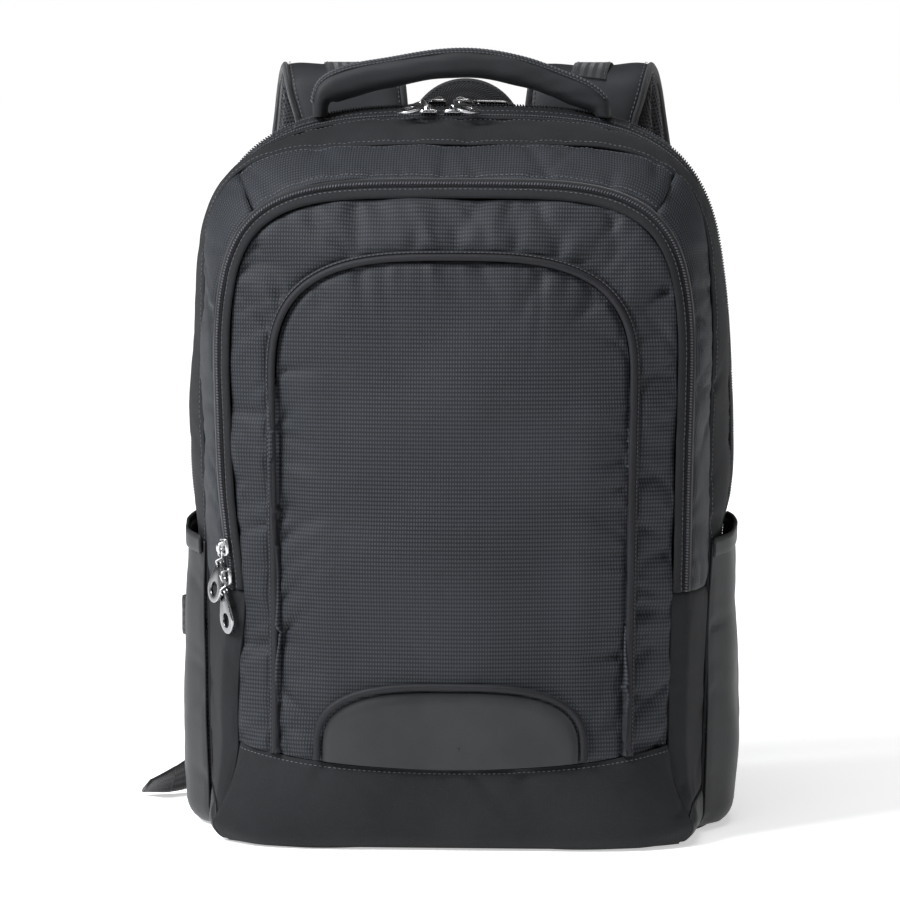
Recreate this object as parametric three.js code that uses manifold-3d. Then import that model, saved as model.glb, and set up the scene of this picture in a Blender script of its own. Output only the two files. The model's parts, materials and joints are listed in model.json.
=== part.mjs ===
import * as THREE from 'three';
import { mergeVertices } from 'three/addons/utils/BufferGeometryUtils.js';
import Module from 'manifold-3d';

const wasm = await Module();
wasm.setup();

// Laptop backpack. Millimetres; X to the right, the front faces -Y, Z up from the floor.

// The bag's body
const bodyHalfWidth = 163;
const bodyHeight = 440;
const bodyDepth = 174;
const rearSeamY = 84;
const footRadius = 14;
const clothWall = 1.6;
const seamGap = 0.4;
const overlayGap = 1;
const bulgeSquareness = 2.2;
const footSquareness = 6;
const footBoxHeight = 130;

// Front pocket
const wedgeTop = 153;
const wedgeFootRear = 28;
const wedgeFootFront = 17;
const bootSeamHeight = 50;
const bootSeamRise = 12;
const zipSlackReach = 6;
const zipSlackHeight = 45;
const pipingRadius = 3.1;
const pipingStand = 1.1;
const patchHalfWidth = 76;
const patchHeight = 46;
const patchSpring = 10;
const patchSquareness = 2.9;
const patchWall = 1.2;
const patchPipingRadius = 2.1;
const seamFootLift = 0.8;
const cordFlatness = 0.75;
const coilRise = 0.9;

// Side pockets
const mouthFront = 177;
const mouthRear = 184;
const pocketWall = 1.4;
const pocketLap = 1.4;
const hemHeight = 4;
const hemThickness = 2.4;

// Padded back
const backThickness = 8;
const backEdgeDrop = 3.5;
const padHalfWidth = 118;
const padFoot = 40;
const padTop = 388;
const padThickness = 5;
const channelThickness = 1.5;
const backFoot = 3;

// Grab handle and haul loop
const handleHalfSpan = 88;
const handleRise = 33;
const handleThickness = 18;
const handleDepth = 22;
const handleSeat = 0.3;
const webbingWidth = 25;
const webbingThickness = 1.5;
const haulHalfSpan = 24;
const haulFoot = 0.9091 * bodyHeight;
const haulRise = 43.5;

// Shoulder straps
const strapSpread = 0.638 * bodyHalfWidth;
const strapStandoff = 45;
const strapTop = 1.0318 * bodyHeight;
const strapWidth = 75;
const strapThickness = 9;
const meshThickness = 2.5;
const meshInset = 2.5;
const tapeWidth = 23;
const tapeThickness = 1.2;
const lockWidth = 36;
const lockThickness = 4;
const lockBar = 3.8;
const lockSlot = 4.8;
const lockReach = 10;
const lockNip = 2;
const lockLift = 0.5;
const slotRoom = 1;
const webbingLead = 3;
const clearance = 0.3;

// Zip hardware
const sliderLength = 11;
const sliderWidth = 8;
const sliderHeight = 2.4;
const bridgeWidth = 2.6;
const bridgeHeight = 4.2;
const bridgeWall = 1.1;
const bridgeReach = 4.2;
const linkLength = 12;
const linkHalfWidth = 3.1;
const linkWire = 1.2;
const linkSpan = linkLength - linkWire;
const pullLength = 27;
const pullWidth = 17;
const pullThickness = 2;
const pullHole = 8.6;
const pullEye = 3.8;
const pullEyeDrop = 3.1;
const pullNeck = 3.3;

// Share of bodyHeight where the arches begin to curve in
const bodySpring = 0.682;
const pocketSpring = 0.614;

const turnStep = THREE.MathUtils.degToRad(11.25);
const mitreTurn = THREE.MathUtils.degToRad(45);

// Arch outlines from the back seam to the inside of the front pocket's zip. Width and flare are
// shares of bodyHalfWidth, height and spring of bodyHeight, depth and footDepth of bodyDepth.
const rings = [
  {
    name: 'backSeam', width: 0.92, height: 0.973, spring: bodySpring, square: 3.4,
    depth: 0, footDepth: 0, flare: 0,
  },
  {
    name: 'rearEdge', width: 0.975, height: 0.993, spring: bodySpring, square: 3.3,
    depth: 0.05, footDepth: 0.05, flare: 0,
  },
  {
    name: 'laptopZipRear', width: 1, height: 1, spring: bodySpring, square: 3.25,
    depth: 0.11, footDepth: 0.11, flare: 0,
  },
  {
    name: 'laptopZipFront', width: 1, height: 0.9985, spring: bodySpring, square: 3.25,
    depth: 0.152, footDepth: 0.152, flare: 0,
  },
  {
    name: 'mainZipRear', width: 1, height: 0.991, spring: bodySpring, square: 3.3,
    depth: 0.247, footDepth: 0.247, flare: 0,
  },
  {
    name: 'mainZipFront', width: 0.998, height: 0.985, spring: bodySpring, square: 3.35,
    depth: 0.29, footDepth: 0.29, flare: 0,
  },
  {
    name: 'gussetMid', width: 0.99, height: 0.973, spring: bodySpring, square: 3.8,
    depth: 0.43, footDepth: 0.44, flare: 0,
  },
  {
    name: 'pocketSeam', width: 0.957, height: 0.9545, spring: bodySpring, square: 4.6,
    depth: 0.557, footDepth: 0.58, flare: 0,
  },
  {
    name: 'pocketZipRear', width: 0.893, height: 0.911, spring: pocketSpring, square: 4.05,
    depth: 0.736, footDepth: 0.79, flare: 0.08,
  },
  {
    name: 'pocketZipFront', width: 0.862, height: 0.899, spring: pocketSpring, square: 4.2,
    depth: 0.759, footDepth: 0.815, flare: 0.12,
  },
  {
    name: 'facingEdge', width: 0.828, height: 0.884, spring: pocketSpring, square: 4.4,
    depth: 0.782, footDepth: 0.84, flare: 0.164,
  },
];

// How full the walls are at each share of the height, as a share of each outline's own width:
// the two big compartments behind, and the front pocket. The mouth of the side pockets nips them in.
const girthRows = [
  { up: 0, rear: 0.965, front: 0.965 },
  { up: 0.1, rear: 0.975, front: 0.969 },
  { up: 0.25, rear: 0.98, front: 0.976 },
  { up: 0.41, rear: 0.987, front: 0.985 },
  { up: 0.46, rear: 1.016, front: 0.987 },
  { up: 0.53, rear: 1.026, front: 0.991 },
  { up: 0.68, rear: 1.01, front: 1 },
  { up: 0.8, rear: 0.988, front: 0.992 },
  { up: 1, rear: 0.985, front: 0.99 },
];
const fullRearDepth = 0.3;
const fullFrontDepth = 0.55;

// How far the middle of the front stands past its edge, as a share of bodyDepth.
const bulgeRows = [
  { up: 0, bulge: 0.16 },
  { up: 0.12, bulge: 0.178 },
  { up: 0.34, bulge: 0.183 },
  { up: 0.57, bulge: 0.158 },
  { up: 0.72, bulge: 0.118 },
  { up: 0.807, bulge: 0.08 },
  { up: 0.86, bulge: 0.034 },
  { up: 0.884, bulge: 0 },
];

// Arches of the fat piping: shares of bodyHalfWidth and bodyHeight.
const pipingArch = { width: 0.669, height: 0.807, spring: 0.625, square: 3.1, depth: 1, flare: 0 };

// Soft folds on the front: each runs between two places, given as shares of bodyHalfWidth and
// bodyHeight. Reach is its half width as a share of bodyHalfWidth, rise a share of bodyDepth.
const foldRows = [
  { fromX: -0.8, fromZ: 0.66, toX: -0.7, toZ: 0.2, reach: 0.05, rise: -0.012 },
  { fromX: 0.8, fromZ: 0.7, toX: 0.72, toZ: 0.22, reach: 0.05, rise: -0.012 },
  { fromX: -0.62, fromZ: 0.83, toX: -0.5, toZ: 0.74, reach: 0.05, rise: -0.012 },
  { fromX: 0.62, fromZ: 0.83, toX: 0.5, toZ: 0.74, reach: 0.05, rise: -0.012 },
  { fromX: -0.52, fromZ: 0.62, toX: -0.44, toZ: 0.2, reach: 0.07, rise: 0.01 },
  { fromX: 0.54, fromZ: 0.6, toX: 0.46, toZ: 0.24, reach: 0.07, rise: 0.01 },
];

// How far a side pocket stands off the wall behind it, by share of its mouth's height.
const standoffRows = [
  { up: 0, off: 0.074 },
  { up: 0.3, off: 0.086 },
  { up: 0.6, off: 0.074 },
  { up: 1, off: 0.054 },
];

// Handle sections from its left end to its right end: shares of the half span, rise and thickness.
const handleRows = [
  { along: -1, up: 0, thick: 0.45, deep: 1 },
  { along: -0.985, up: 0.33, thick: 0.6, deep: 1 },
  { along: -0.93, up: 0.5, thick: 0.95, deep: 0.95 },
  { along: -0.78, up: 0.66, thick: 1.08, deep: 0.95 },
  { along: -0.5, up: 0.82, thick: 1, deep: 1 },
  { along: -0.15, up: 0.97, thick: 1, deep: 1 },
  { along: 0.12, up: 0.98, thick: 1, deep: 1 },
  { along: 0.42, up: 0.84, thick: 0.98, deep: 1 },
  { along: 0.68, up: 0.6, thick: 0.95, deep: 1 },
  { along: 0.86, up: 0.4, thick: 0.9, deep: 1 },
  { along: 0.96, up: 0.22, thick: 0.7, deep: 1 },
  { along: 1, up: 0, thick: 0.45, deep: 1 },
];

// Route of a strap's underside: shares of strapSpread, strapStandoff, strapTop and strapWidth,
// with the padding's thickness as a share of strapThickness.
const strapRows = [
  { out: 0.66, back: -0.093, up: 0.875, wide: 0.88, thick: 0.7 },
  { out: 0.67, back: -0.053, up: 0.92, wide: 0.9, thick: 0.9 },
  { out: 0.7, back: 0.05, up: 0.963, wide: 0.94, thick: 1 },
  { out: 0.735, back: 0.2, up: 0.993, wide: 0.98, thick: 1 },
  { out: 0.765, back: 0.42, up: 1, wide: 1, thick: 1 },
  { out: 0.8, back: 0.66, up: 0.98, wide: 1, thick: 1 },
  { out: 0.845, back: 0.83, up: 0.93, wide: 0.97, thick: 1 },
  { out: 0.9, back: 0.93, up: 0.86, wide: 0.94, thick: 1 },
  { out: 0.96, back: 1, up: 0.76, wide: 0.92, thick: 1 },
  { out: 0.99, back: 1, up: 0.66, wide: 0.9, thick: 1 },
  { out: 1, back: 0.98, up: 0.55, wide: 0.88, thick: 1 },
  { out: 0.98, back: 0.94, up: 0.45, wide: 0.84, thick: 1 },
  { out: 0.955, back: 0.88, up: 0.37, wide: 0.74, thick: 0.95 },
  { out: 0.94, back: 0.85, up: 0.33, wide: 0.58, thick: 0.8 },
  { out: 0.935, back: 0.83, up: 0.31, wide: 0.48, thick: 0.6 },
];

// Free webbing below each lock: out, back and up are shares of bodyHalfWidth, strapStandoff and
// bodyHeight. The last three columns turn its width: towards X, Y and Z.
const leftAnchorRows = [
  { out: 0.943, back: -0.53, up: 0.266, acrossX: 0, acrossY: 0.1, acrossZ: 1 },
  { out: 1.04, back: -0.43, up: 0.266, acrossX: 0, acrossY: 0.1, acrossZ: 1 },
  { out: 1.095, back: -0.28, up: 0.267, acrossX: 0, acrossY: 0, acrossZ: 1 },
  { out: 1.06, back: -0.12, up: 0.268, acrossX: 0, acrossY: 0, acrossZ: 1 },
  { out: 0.94, back: 0.12, up: 0.262, acrossX: 0.1, acrossY: 0, acrossZ: 1 },
  { out: 0.76, back: 0.5, up: 0.235, acrossX: 0.6, acrossY: 0, acrossZ: 0.8 },
];
const rightAnchorRows = [
  { out: 0.9, back: -0.2, up: 0.266, acrossX: 0, acrossY: 0, acrossZ: 1 },
  { out: 0.9, back: -0.1, up: 0.267, acrossX: 0, acrossY: 0, acrossZ: 1 },
  { out: 0.86, back: 0.1, up: 0.26, acrossX: 0.2, acrossY: 0, acrossZ: 1 },
  { out: 0.74, back: 0.5, up: 0.235, acrossX: 0.6, acrossY: 0, acrossZ: 0.8 },
];
const leftTailRows = [
  { out: 0.62, back: 1.16, up: 0.19, acrossX: 1, acrossY: 0, acrossZ: 0 },
  { out: 0.68, back: 1.1, up: 0.12, acrossX: 0.9, acrossY: 0, acrossZ: 0.4 },
  { out: 0.84, back: 0.72, up: 0.072, acrossX: 0.3, acrossY: 0, acrossZ: 0.95 },
  { out: 1.04, back: 0.2, up: 0.038, acrossX: 0, acrossY: -0.35, acrossZ: 0.93 },
  { out: 1.14, back: -0.1, up: 0.025, acrossX: 0, acrossY: -0.7, acrossZ: 0.7 },
  { out: 1.24, back: -0.3, up: 0.018, acrossX: 0, acrossY: -0.93, acrossZ: 0.36 },
];
const rightTailRows = [
  { out: 0.62, back: 1.16, up: 0.19, acrossX: 1, acrossY: 0, acrossZ: 0 },
  { out: 0.63, back: 1.14, up: 0.11, acrossX: 1, acrossY: 0, acrossZ: 0 },
  { out: 0.66, back: 1, up: 0.04, acrossX: 1, acrossY: 0, acrossZ: 0 },
  { out: 0.7, back: 0.66, up: 0.008, acrossX: 1, acrossY: 0.2, acrossZ: 0 },
  { out: 0.74, back: 0.2, up: 0.006, acrossX: 1, acrossY: 0.2, acrossZ: 0 },
];

// The three zips' sliders. Along is a share of bodyHalfWidth for a slider at the top and of
// bodyHeight for one at the side; hang is the way its pull lies.
const sliderSpacing = 18;
const upperSlider = 0.405;
const lowerSlider = upperSlider - sliderSpacing / bodyHeight;
const sliderRows = [
  { name: 'main_left', zip: 'main', along: -0.125, hangX: -0.55, hangY: -0.85, hangZ: 0, tilt: -0.01 },
  { name: 'main_right', zip: 'main', along: -0.03, hangX: 0.55, hangY: -0.85, hangZ: 0, tilt: -0.01 },
  { name: 'laptop_left', zip: 'laptop', along: -0.1, hangX: -0.75, hangY: 0.65, hangZ: 0, tilt: -0.04 },
  { name: 'laptop_right', zip: 'laptop', along: -0.005, hangX: 0.9, hangY: 0.45, hangZ: 0, tilt: -0.04 },
  { name: 'pocket_upper', zip: 'pocket', along: upperSlider, hangX: -0.45, hangY: 0, hangZ: -1, tilt: 0.2 },
  { name: 'pocket_lower', zip: 'pocket', along: lowerSlider, hangX: 0.16, hangY: 0, hangZ: -1, tilt: -0.05 },
];

const group = new THREE.Group();

// Materials
const finish = (color, roughness, metalness = 0) =>
  new THREE.MeshStandardMaterial({ color, roughness, metalness, side: THREE.DoubleSide });
const ripstop = finish(0x4b4d51, 0.7);
const oxford = finish(0x38393b, 0.85);
const leatherette = finish(0x505152, 0.5);
const pipingCloth = finish(0x35353a, 0.75);
const webbingCloth = finish(0x161618, 0.85);
const airMesh = finish(0x1c1c1e, 0.95);
const zipCoil = finish(0x232326, 0.6);
const metal = finish(0x6e6e6e, 0.3, 1);
const plastic = finish(0x17171a, 0.45);

// Small helpers
const V = (x, y, z) => new THREE.Vector3(x, y, z);
const mix = THREE.MathUtils.lerp;
const byName = Object.fromEntries(rings.map((ring) => [ring.name, ring]));

// Smooth reading between the rows of a table.
function along(rows, input, output, value) {
  const last = rows.length - 1;
  if (value <= rows[0][input]) return rows[0][output];
  if (value >= rows[last][input]) return rows[last][output];
  let i = 0;
  while (value > rows[i + 1][input]) i += 1;
  const slope = (k) => {
    const before = rows[Math.max(k - 1, 0)];
    const after = rows[Math.min(k + 1, last)];
    return (after[output] - before[output]) / (after[input] - before[input]);
  };
  const span = rows[i + 1][input] - rows[i][input];
  const t = (value - rows[i][input]) / span;
  const square = t * t;
  const cube = square * t;
  return (
    (2 * cube - 3 * square + 1) * rows[i][output] +
    (cube - 2 * square + t) * span * slope(i) +
    (3 * square - 2 * cube) * rows[i + 1][output] +
    (cube - square) * span * slope(i + 1)
  );
}

// Closed solids

// A closed mesh from points and triangles, turned so that its faces point out.
function piece(name, points, triangles, material) {
  let volume = 0;
  const normal = new THREE.Vector3();
  for (const [a, b, c] of triangles) {
    volume += points[a].dot(normal.copy(points[b]).cross(points[c]));
  }
  const ordered = volume < 0 ? triangles.map(([a, b, c]) => [a, c, b]) : triangles;
  const geometry = new THREE.BufferGeometry().setFromPoints(points);
  geometry.setIndex(ordered.flat());
  geometry.computeVertexNormals();
  return place(name, geometry, material);
}

function place(name, geometry, material) {
  const mesh = new THREE.Mesh(geometry, material);
  mesh.name = name;
  group.add(mesh);
  return mesh;
}

// A wall between two matching grids of points, closed round all four edges.
function wallBetween(name, outer, inner, material) {
  const rows = outer.length;
  const cols = outer[0].length;
  const points = [...outer.flat(), ...inner.flat()];
  const half = rows * cols;
  const triangles = [];
  const quad = (a, b, c, d) => triangles.push([a, b, c], [a, c, d]);
  for (let i = 0; i < rows - 1; i += 1) {
    for (let j = 0; j < cols - 1; j += 1) {
      const a = i * cols + j;
      quad(a, a + cols, a + cols + 1, a + 1);
      quad(half + a, half + a + 1, half + a + cols + 1, half + a + cols);
    }
  }
  for (let j = 0; j < cols - 1; j += 1) {
    quad(j, j + 1, half + j + 1, half + j);
    const b = (rows - 1) * cols + j;
    quad(b, half + b, half + b + 1, b + 1);
  }
  for (let i = 0; i < rows - 1; i += 1) {
    const a = i * cols;
    quad(a, half + a, half + a + cols, a + cols);
    const b = a + cols - 1;
    quad(b, b + cols, half + b + cols, half + b);
  }
  return piece(name, points, triangles, material);
}

// A solid through a row of closed loops, with flat ends, or joined end to end as a ring.
function loft(name, loops, material, joined = false) {
  const sides = loops[0].length;
  const points = loops.flat();
  const triangles = [];
  const count = joined ? loops.length : loops.length - 1;
  for (let i = 0; i < count; i += 1) {
    const next = (i + 1) % loops.length;
    for (let j = 0; j < sides; j += 1) {
      const k = (j + 1) % sides;
      triangles.push([i * sides + j, next * sides + j, next * sides + k]);
      triangles.push([i * sides + j, next * sides + k, i * sides + k]);
    }
  }
  if (!joined) {
    const end = (loops.length - 1) * sides;
    for (let j = 1; j < sides - 1; j += 1) {
      triangles.push([0, j, j + 1]);
      triangles.push([end, end + j + 1, end + j]);
    }
  }
  return piece(name, points, triangles, material);
}

// Draws a grid's edges in by half a seam gap, so neighbours never touch.
function trim(grid) {
  const pull = (point, towards) => {
    const step = towards.clone().sub(point);
    return point.clone().add(step.setLength(Math.min(seamGap / 2, step.length() / 3)));
  };
  const rows = grid.length;
  const cols = grid[0].length;
  const result = grid.map((row) => row.map((p) => p.clone()));
  for (let j = 0; j < cols; j += 1) {
    result[0][j] = pull(grid[0][j], grid[1][j]);
    result[rows - 1][j] = pull(grid[rows - 1][j], grid[rows - 2][j]);
  }
  for (let i = 0; i < rows; i += 1) {
    const first = pull(grid[i][0], grid[i][1]).sub(grid[i][0]);
    const last = pull(grid[i][cols - 1], grid[i][cols - 2]).sub(grid[i][cols - 1]);
    result[i][0].add(first);
    result[i][cols - 1].add(last);
  }
  return result;
}

// The way out of the bag at any point, which every wall's thickness follows.
function outward(p) {
  const half = [bodyHalfWidth, bodyDepth / 2, bodyHeight / 2];
  const middle = [0, rearSeamY - bodyDepth / 2, bodyHeight / 2];
  const pushes = p.toArray().map((value, axis) => {
    const share = (value - middle[axis]) / half[axis];
    return (Math.sign(share) * Math.abs(share) ** 3) / half[axis];
  });
  return V(...pushes).normalize();
}

const deeper = (grid, wall) =>
  grid.map((row) => row.map((p) => p.clone().addScaledVector(outward(p), -wall)));

function panel(name, grid, material, wall = clothWall) {
  const outer = trim(grid);
  return wallBetween(name, outer, deeper(outer, wall), material);
}

// The bag's form

function girth(ring, z) {
  const front = THREE.MathUtils.smoothstep(ring.depth, fullRearDepth, fullFrontDepth);
  const read = (column) => along(girthRows, 'up', column, z / bodyHeight);
  return mix(read('rear'), read('front'), front);
}

// The rounding under the walls: nothing above footRadius, full at the floor.
function tuck(p) {
  const below = Math.max(0, footRadius - p.z);
  const shift = footRadius - Math.sqrt(Math.max(0, footRadius ** 2 - below ** 2));
  const way = outward(p);
  way.z = 0;
  way.y = Math.min(0, way.y);
  return p.clone().addScaledVector(way.normalize(), -shift);
}

// The front pocket's zip sags inwards a little at its foot on the left.
const zipSlack = (ring, z, side) =>
  side < 0 && ring.flare > 0
    ? zipSlackReach * Math.exp(-(((z - wedgeTop) / zipSlackHeight) ** 2))
    : 0;

function footFlare(ring, z) {
  const share = THREE.MathUtils.clamp(1 - z / (bootSeamHeight + bootSeamRise), 0, 1);
  return ring.flare * bodyHalfWidth * share * share;
}

function halfWidth(ring, z, side) {
  const spring = ring.spring * bodyHeight;
  const rise = (ring.height - ring.spring) * bodyHeight;
  const over = Math.min(1, Math.max(0, z - spring) / rise);
  const narrow = (1 - over ** ring.square) ** (1 / ring.square);
  const full = ring.width * bodyHalfWidth * narrow * girth(ring, z);
  return full + footFlare(ring, z) - zipSlack(ring, z, side);
}

const ringY = (ring, z) =>
  rearSeamY - bodyDepth * mix(ring.footDepth, ring.depth, z / bodyHeight);

function archHeight(ring, x) {
  const spring = ring.spring * bodyHeight;
  const rise = (ring.height - ring.spring) * bodyHeight;
  const over = Math.min(1, Math.abs(x) / (ring.width * bodyHalfWidth));
  return spring + rise * (1 - over ** ring.square) ** (1 / ring.square);
}

// A place on an arch: at a height up its side, or turned by an angle over its top.
function archXZ(ring, station) {
  if (station.turn === undefined) {
    return { x: station.side * halfWidth(ring, station.height, station.side), z: station.height };
  }
  const c = Math.max(0, Math.cos(station.turn));
  const s = Math.max(0, Math.sin(station.turn));
  const k = (c ** ring.square + s ** ring.square) ** (-1 / ring.square);
  const z = ring.spring * bodyHeight + (ring.height - ring.spring) * bodyHeight * k * s;
  const x = ring.width * bodyHalfWidth * k * c * girth(ring, z) - zipSlack(ring, z, station.side);
  return { x: station.side * x, z };
}

function ringPoint(ring, station) {
  const { x, z } = archXZ(ring, station);
  return tuck(V(x, ringY(ring, z), z));
}

// Stations from the left foot over the top to the right foot, with only the heights given.
function stations(heights, fromTurn = 0) {
  const left = heights.map((height) => ({ side: -1, height }));
  const turns = [];
  for (let turn = fromTurn; turn < Math.PI / 2 - turnStep / 2; turn += turnStep) turns.push(turn);
  const over = turns.map((turn) => ({ side: -1, turn }));
  const top = { side: 1, turn: Math.PI / 2 };
  const mirror = (list) => list.map((s) => ({ ...s, side: 1 })).reverse();
  return [...left, ...over, top, ...mirror(over), ...mirror(left)];
}

const sideHeights = [6, footRadius, 60, 105, wedgeTop, mouthFront, 202, 245];
const wholeSide = [0, ...sideHeights];
const upperSide = [wedgeTop, mouthFront, 215, 245];

const ringGrid = (names, list) => names.map((name) => list.map((s) => ringPoint(byName[name], s)));

// Three rows from one edge of a zip to the other, raised in the middle where the coil is.
function zipGrid(rear, front, list) {
  const [a, b] = ringGrid([rear, front], list);
  const middle = a.map((p, j) => p.clone().lerp(b[j], 0.5));
  const raised = middle.map((p) => p.clone().addScaledVector(outward(p), coilRise));
  return [a, raised, b];
}

// Front of the bag

const facing = byName.facingEdge;

function foldRise(x, z) {
  let rise = 0;
  for (const fold of foldRows) {
    const ax = fold.fromX * bodyHalfWidth;
    const az = fold.fromZ * bodyHeight;
    const dx = fold.toX * bodyHalfWidth - ax;
    const dz = fold.toZ * bodyHeight - az;
    const t = THREE.MathUtils.clamp(((x - ax) * dx + (z - az) * dz) / (dx * dx + dz * dz), 0, 1);
    const away = Math.hypot(x - ax - dx * t, z - az - dz * t) / (fold.reach * bodyHalfWidth);
    rise += fold.rise * bodyDepth * Math.exp(-away * away);
  }
  return rise;
}

function frontY(x, z) {
  const half = Math.max(1, halfWidth(facing, z, Math.sign(x)));
  const off = Math.min(1, Math.abs(x) / half);
  const bulge = along(bulgeRows, 'up', 'bulge', z / bodyHeight) * bodyDepth;
  const rounded = THREE.MathUtils.smoothstep(z, 0, footBoxHeight);
  const full = 1 - off ** mix(footSquareness, bulgeSquareness, rounded);
  return ringY(facing, z) - (bulge + foldRise(x, z) * Math.min(1, 4 * full)) * full;
}

const frontPoint = (x, z) => tuck(V(x, frontY(x, z), z));

function frontNormal(x, z) {
  const step = 2;
  const slopeX = (frontY(x + step, z) - frontY(x - step, z)) / (2 * step);
  const slopeZ = (frontY(x, z + step) - frontY(x, z - step)) / (2 * step);
  return V(slopeX, -1, slopeZ).normalize();
}

const bootSeam = (x) =>
  bootSeamHeight + bootSeamRise * (x / (facing.width * bodyHalfWidth)) ** 2;

// Stations of an arch on the front, from the boot's seam up and over.
function frontArch(arch, heights, raise = 0) {
  return stations([null, ...heights]).map((s) => {
    if (s.height !== null) return archXZ(arch, s);
    const x = s.side * halfWidth(arch, bootSeamHeight + bootSeamRise, s.side);
    return { x, z: bootSeam(x) + raise };
  });
}

// A round cord laid along a line on the front, with its middle standing off the cloth.
function cordOnFront(name, line, radius, stand, material) {
  const sides = 7;
  const middle = line.map(({ x, z }) => frontPoint(x, z).addScaledVector(frontNormal(x, z), stand));
  const loops = middle.map((centre, i) => {
    const ahead = middle[Math.min(i + 1, middle.length - 1)];
    const behind = middle[Math.max(i - 1, 0)];
    const run = ahead.clone().sub(behind).normalize();
    const out = frontNormal(line[i].x, line[i].z);
    out.addScaledVector(run, -out.dot(run)).normalize();
    const across = out.clone().cross(run);
    return Array.from({ length: sides }, (_, k) => {
      const angle = ((k + 0.5) * 2 * Math.PI) / sides;
      const point = centre.clone().addScaledVector(across, radius * Math.cos(angle));
      return point.addScaledVector(out, radius * cordFlatness * Math.sin(angle));
    });
  });
  return loft(name, loops, material);
}

function buildFront() {
  const heights = [105, wedgeTop, 200, 240];
  const outerLine = frontArch(facing, heights);
  const centreLine = frontArch(pipingArch, heights);
  const reach = pipingRadius + clearance - seamGap / 2;
  const offset = (sign) =>
    centreLine.map(({ x, z }, i) => {
      const ahead = centreLine[Math.min(i + 1, centreLine.length - 1)];
      const behind = centreLine[Math.max(i - 1, 0)];
      const length = Math.hypot(ahead.x - behind.x, ahead.z - behind.z);
      const shifted = x - (sign * reach * (ahead.z - behind.z)) / length;
      const raised = z + (sign * reach * (ahead.x - behind.x)) / length;
      const foot = i === 0 || i === centreLine.length - 1;
      return { x: shifted, z: foot ? bootSeam(shifted) : raised };
    });
  const outside = offset(1);
  const inside = offset(-1);
  const shares = [0, 0.33, 0.67, 1];
  const band = shares.map((t) =>
    outerLine.map((o, i) => frontPoint(mix(o.x, outside[i].x, t), mix(o.z, outside[i].z, t)))
  );
  panel('front_band', band, ripstop);

  const ends = centreLine.map(({ x, z }, i) =>
    i === 0 || i === centreLine.length - 1 ? { x, z: z + seamFootLift } : { x, z }
  );
  cordOnFront('front_piping', ends, pipingRadius, pipingStand, pipingCloth);

  const arc = inside.slice(heights.length + 1, inside.length - heights.length - 1);
  const rise = [0, 0.12, 0.28, 0.46, 0.64, 0.82, 1];
  const inner = arc.map((top) =>
    rise.map((t) => {
      const z = mix(bootSeam(top.x), top.z, t);
      return frontPoint((top.x * girth(facing, z)) / girth(facing, top.z), z);
    })
  );
  panel('front_panel', inner, ripstop);
}

// Half oval of smooth leather-like cloth at the foot of the panel, and its piping.
function buildPatch() {
  const foot = bootSeamHeight + seamFootLift;
  const count = 12;
  const rim = (extra) =>
    Array.from({ length: count + 1 }, (_, i) => {
      const turn = Math.PI * (1 - i / count);
      const c = Math.cos(turn);
      const s = Math.max(0, Math.sin(turn));
      const k = (Math.abs(c) ** patchSquareness + s ** patchSquareness) ** (-1 / patchSquareness);
      const spring = foot + patchSpring;
      const rise = patchHeight - patchSpring;
      return { x: (patchHalfWidth + extra) * k * c, z: spring + (rise + extra) * k * s };
    });
  const lift = (x, z, off) => frontPoint(x, z).addScaledVector(frontNormal(x, z), off);
  const shares = [0, 0.35, 0.7, 1];
  const grid = (off) =>
    rim(0).map(({ x, z }) => shares.map((t) => lift(x, mix(bootSeam(x) + seamFootLift, z, t), off)));
  wallBetween('patch', grid(overlayGap + patchWall), grid(overlayGap), leatherette);
  const line = rim(patchPipingRadius + 4 * clearance);
  const feet = [-1, 1].map((side) => {
    const x = side * (patchHalfWidth + patchPipingRadius + 4 * clearance);
    return { x, z: bootSeam(x) + seamFootLift };
  });
  const stand = overlayGap + patchPipingRadius * cordFlatness;
  cordOnFront('patch_piping', [feet[0], ...line, feet[1]], patchPipingRadius, stand, pipingCloth);
}

// Lower front: it turns under the bag and meets the base.
const bootShares = [-1, -0.92, -0.75, -0.5, -0.25, 0, 0.25, 0.5, 0.75, 0.92, 1];
const bootPoint = (share, z) => frontPoint(share * halfWidth(facing, z, share), z);

function buildBoot() {
  const heights = [45, wedgeFootFront, 8, 3, 0];
  const grid = bootShares.map((share) => {
    const x = share * halfWidth(facing, bootSeamHeight + bootSeamRise, share);
    return [frontPoint(x, bootSeam(x)), ...heights.map((z) => bootPoint(share, z))];
  });
  panel('boot', grid, oxford);
}

function buildSides() {
  const names = ['pocketSeam', 'pocketZipRear', 'pocketZipFront', 'facingEdge'];
  const corner = names.map((_, i) => mix(wedgeFootRear, wedgeFootFront, i / (names.length - 1)));
  for (const [label, side] of [['left', -1], ['right', 1]]) {
    const wedge = names.map((name, i) =>
      [corner[i], 45, bootSeamHeight + bootSeamRise, 105, wedgeTop].map((height) =>
        ringPoint(byName[name], { side, height })
      )
    );
    panel(`side_wedge_${label}`, wedge, oxford);
    const under = names.map((name, i) =>
      [0, 3, 8, corner[i]].map((height) => ringPoint(byName[name], { side, height }))
    );
    panel(`pocket_corner_${label}`, under, leatherette);
    const up = upperSide.map((height) => ({ side, height }));
    for (let turn = 0; turn < mitreTurn + turnStep / 2; turn += turnStep) up.push({ side, turn });
    panel(`pocket_gusset_${label}`, ringGrid(['pocketSeam', 'pocketZipRear'], up), ripstop);
  }
  const top = stations([], mitreTurn);
  panel('pocket_gusset_top', ringGrid(['pocketSeam', 'pocketZipRear'], top), ripstop);
  const over = stations(upperSide);
  panel('pocket_zip', zipGrid('pocketZipRear', 'pocketZipFront', over), zipCoil);
  panel('zip_facing', ringGrid(['pocketZipFront', 'facingEdge'], over), oxford);
}

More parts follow.
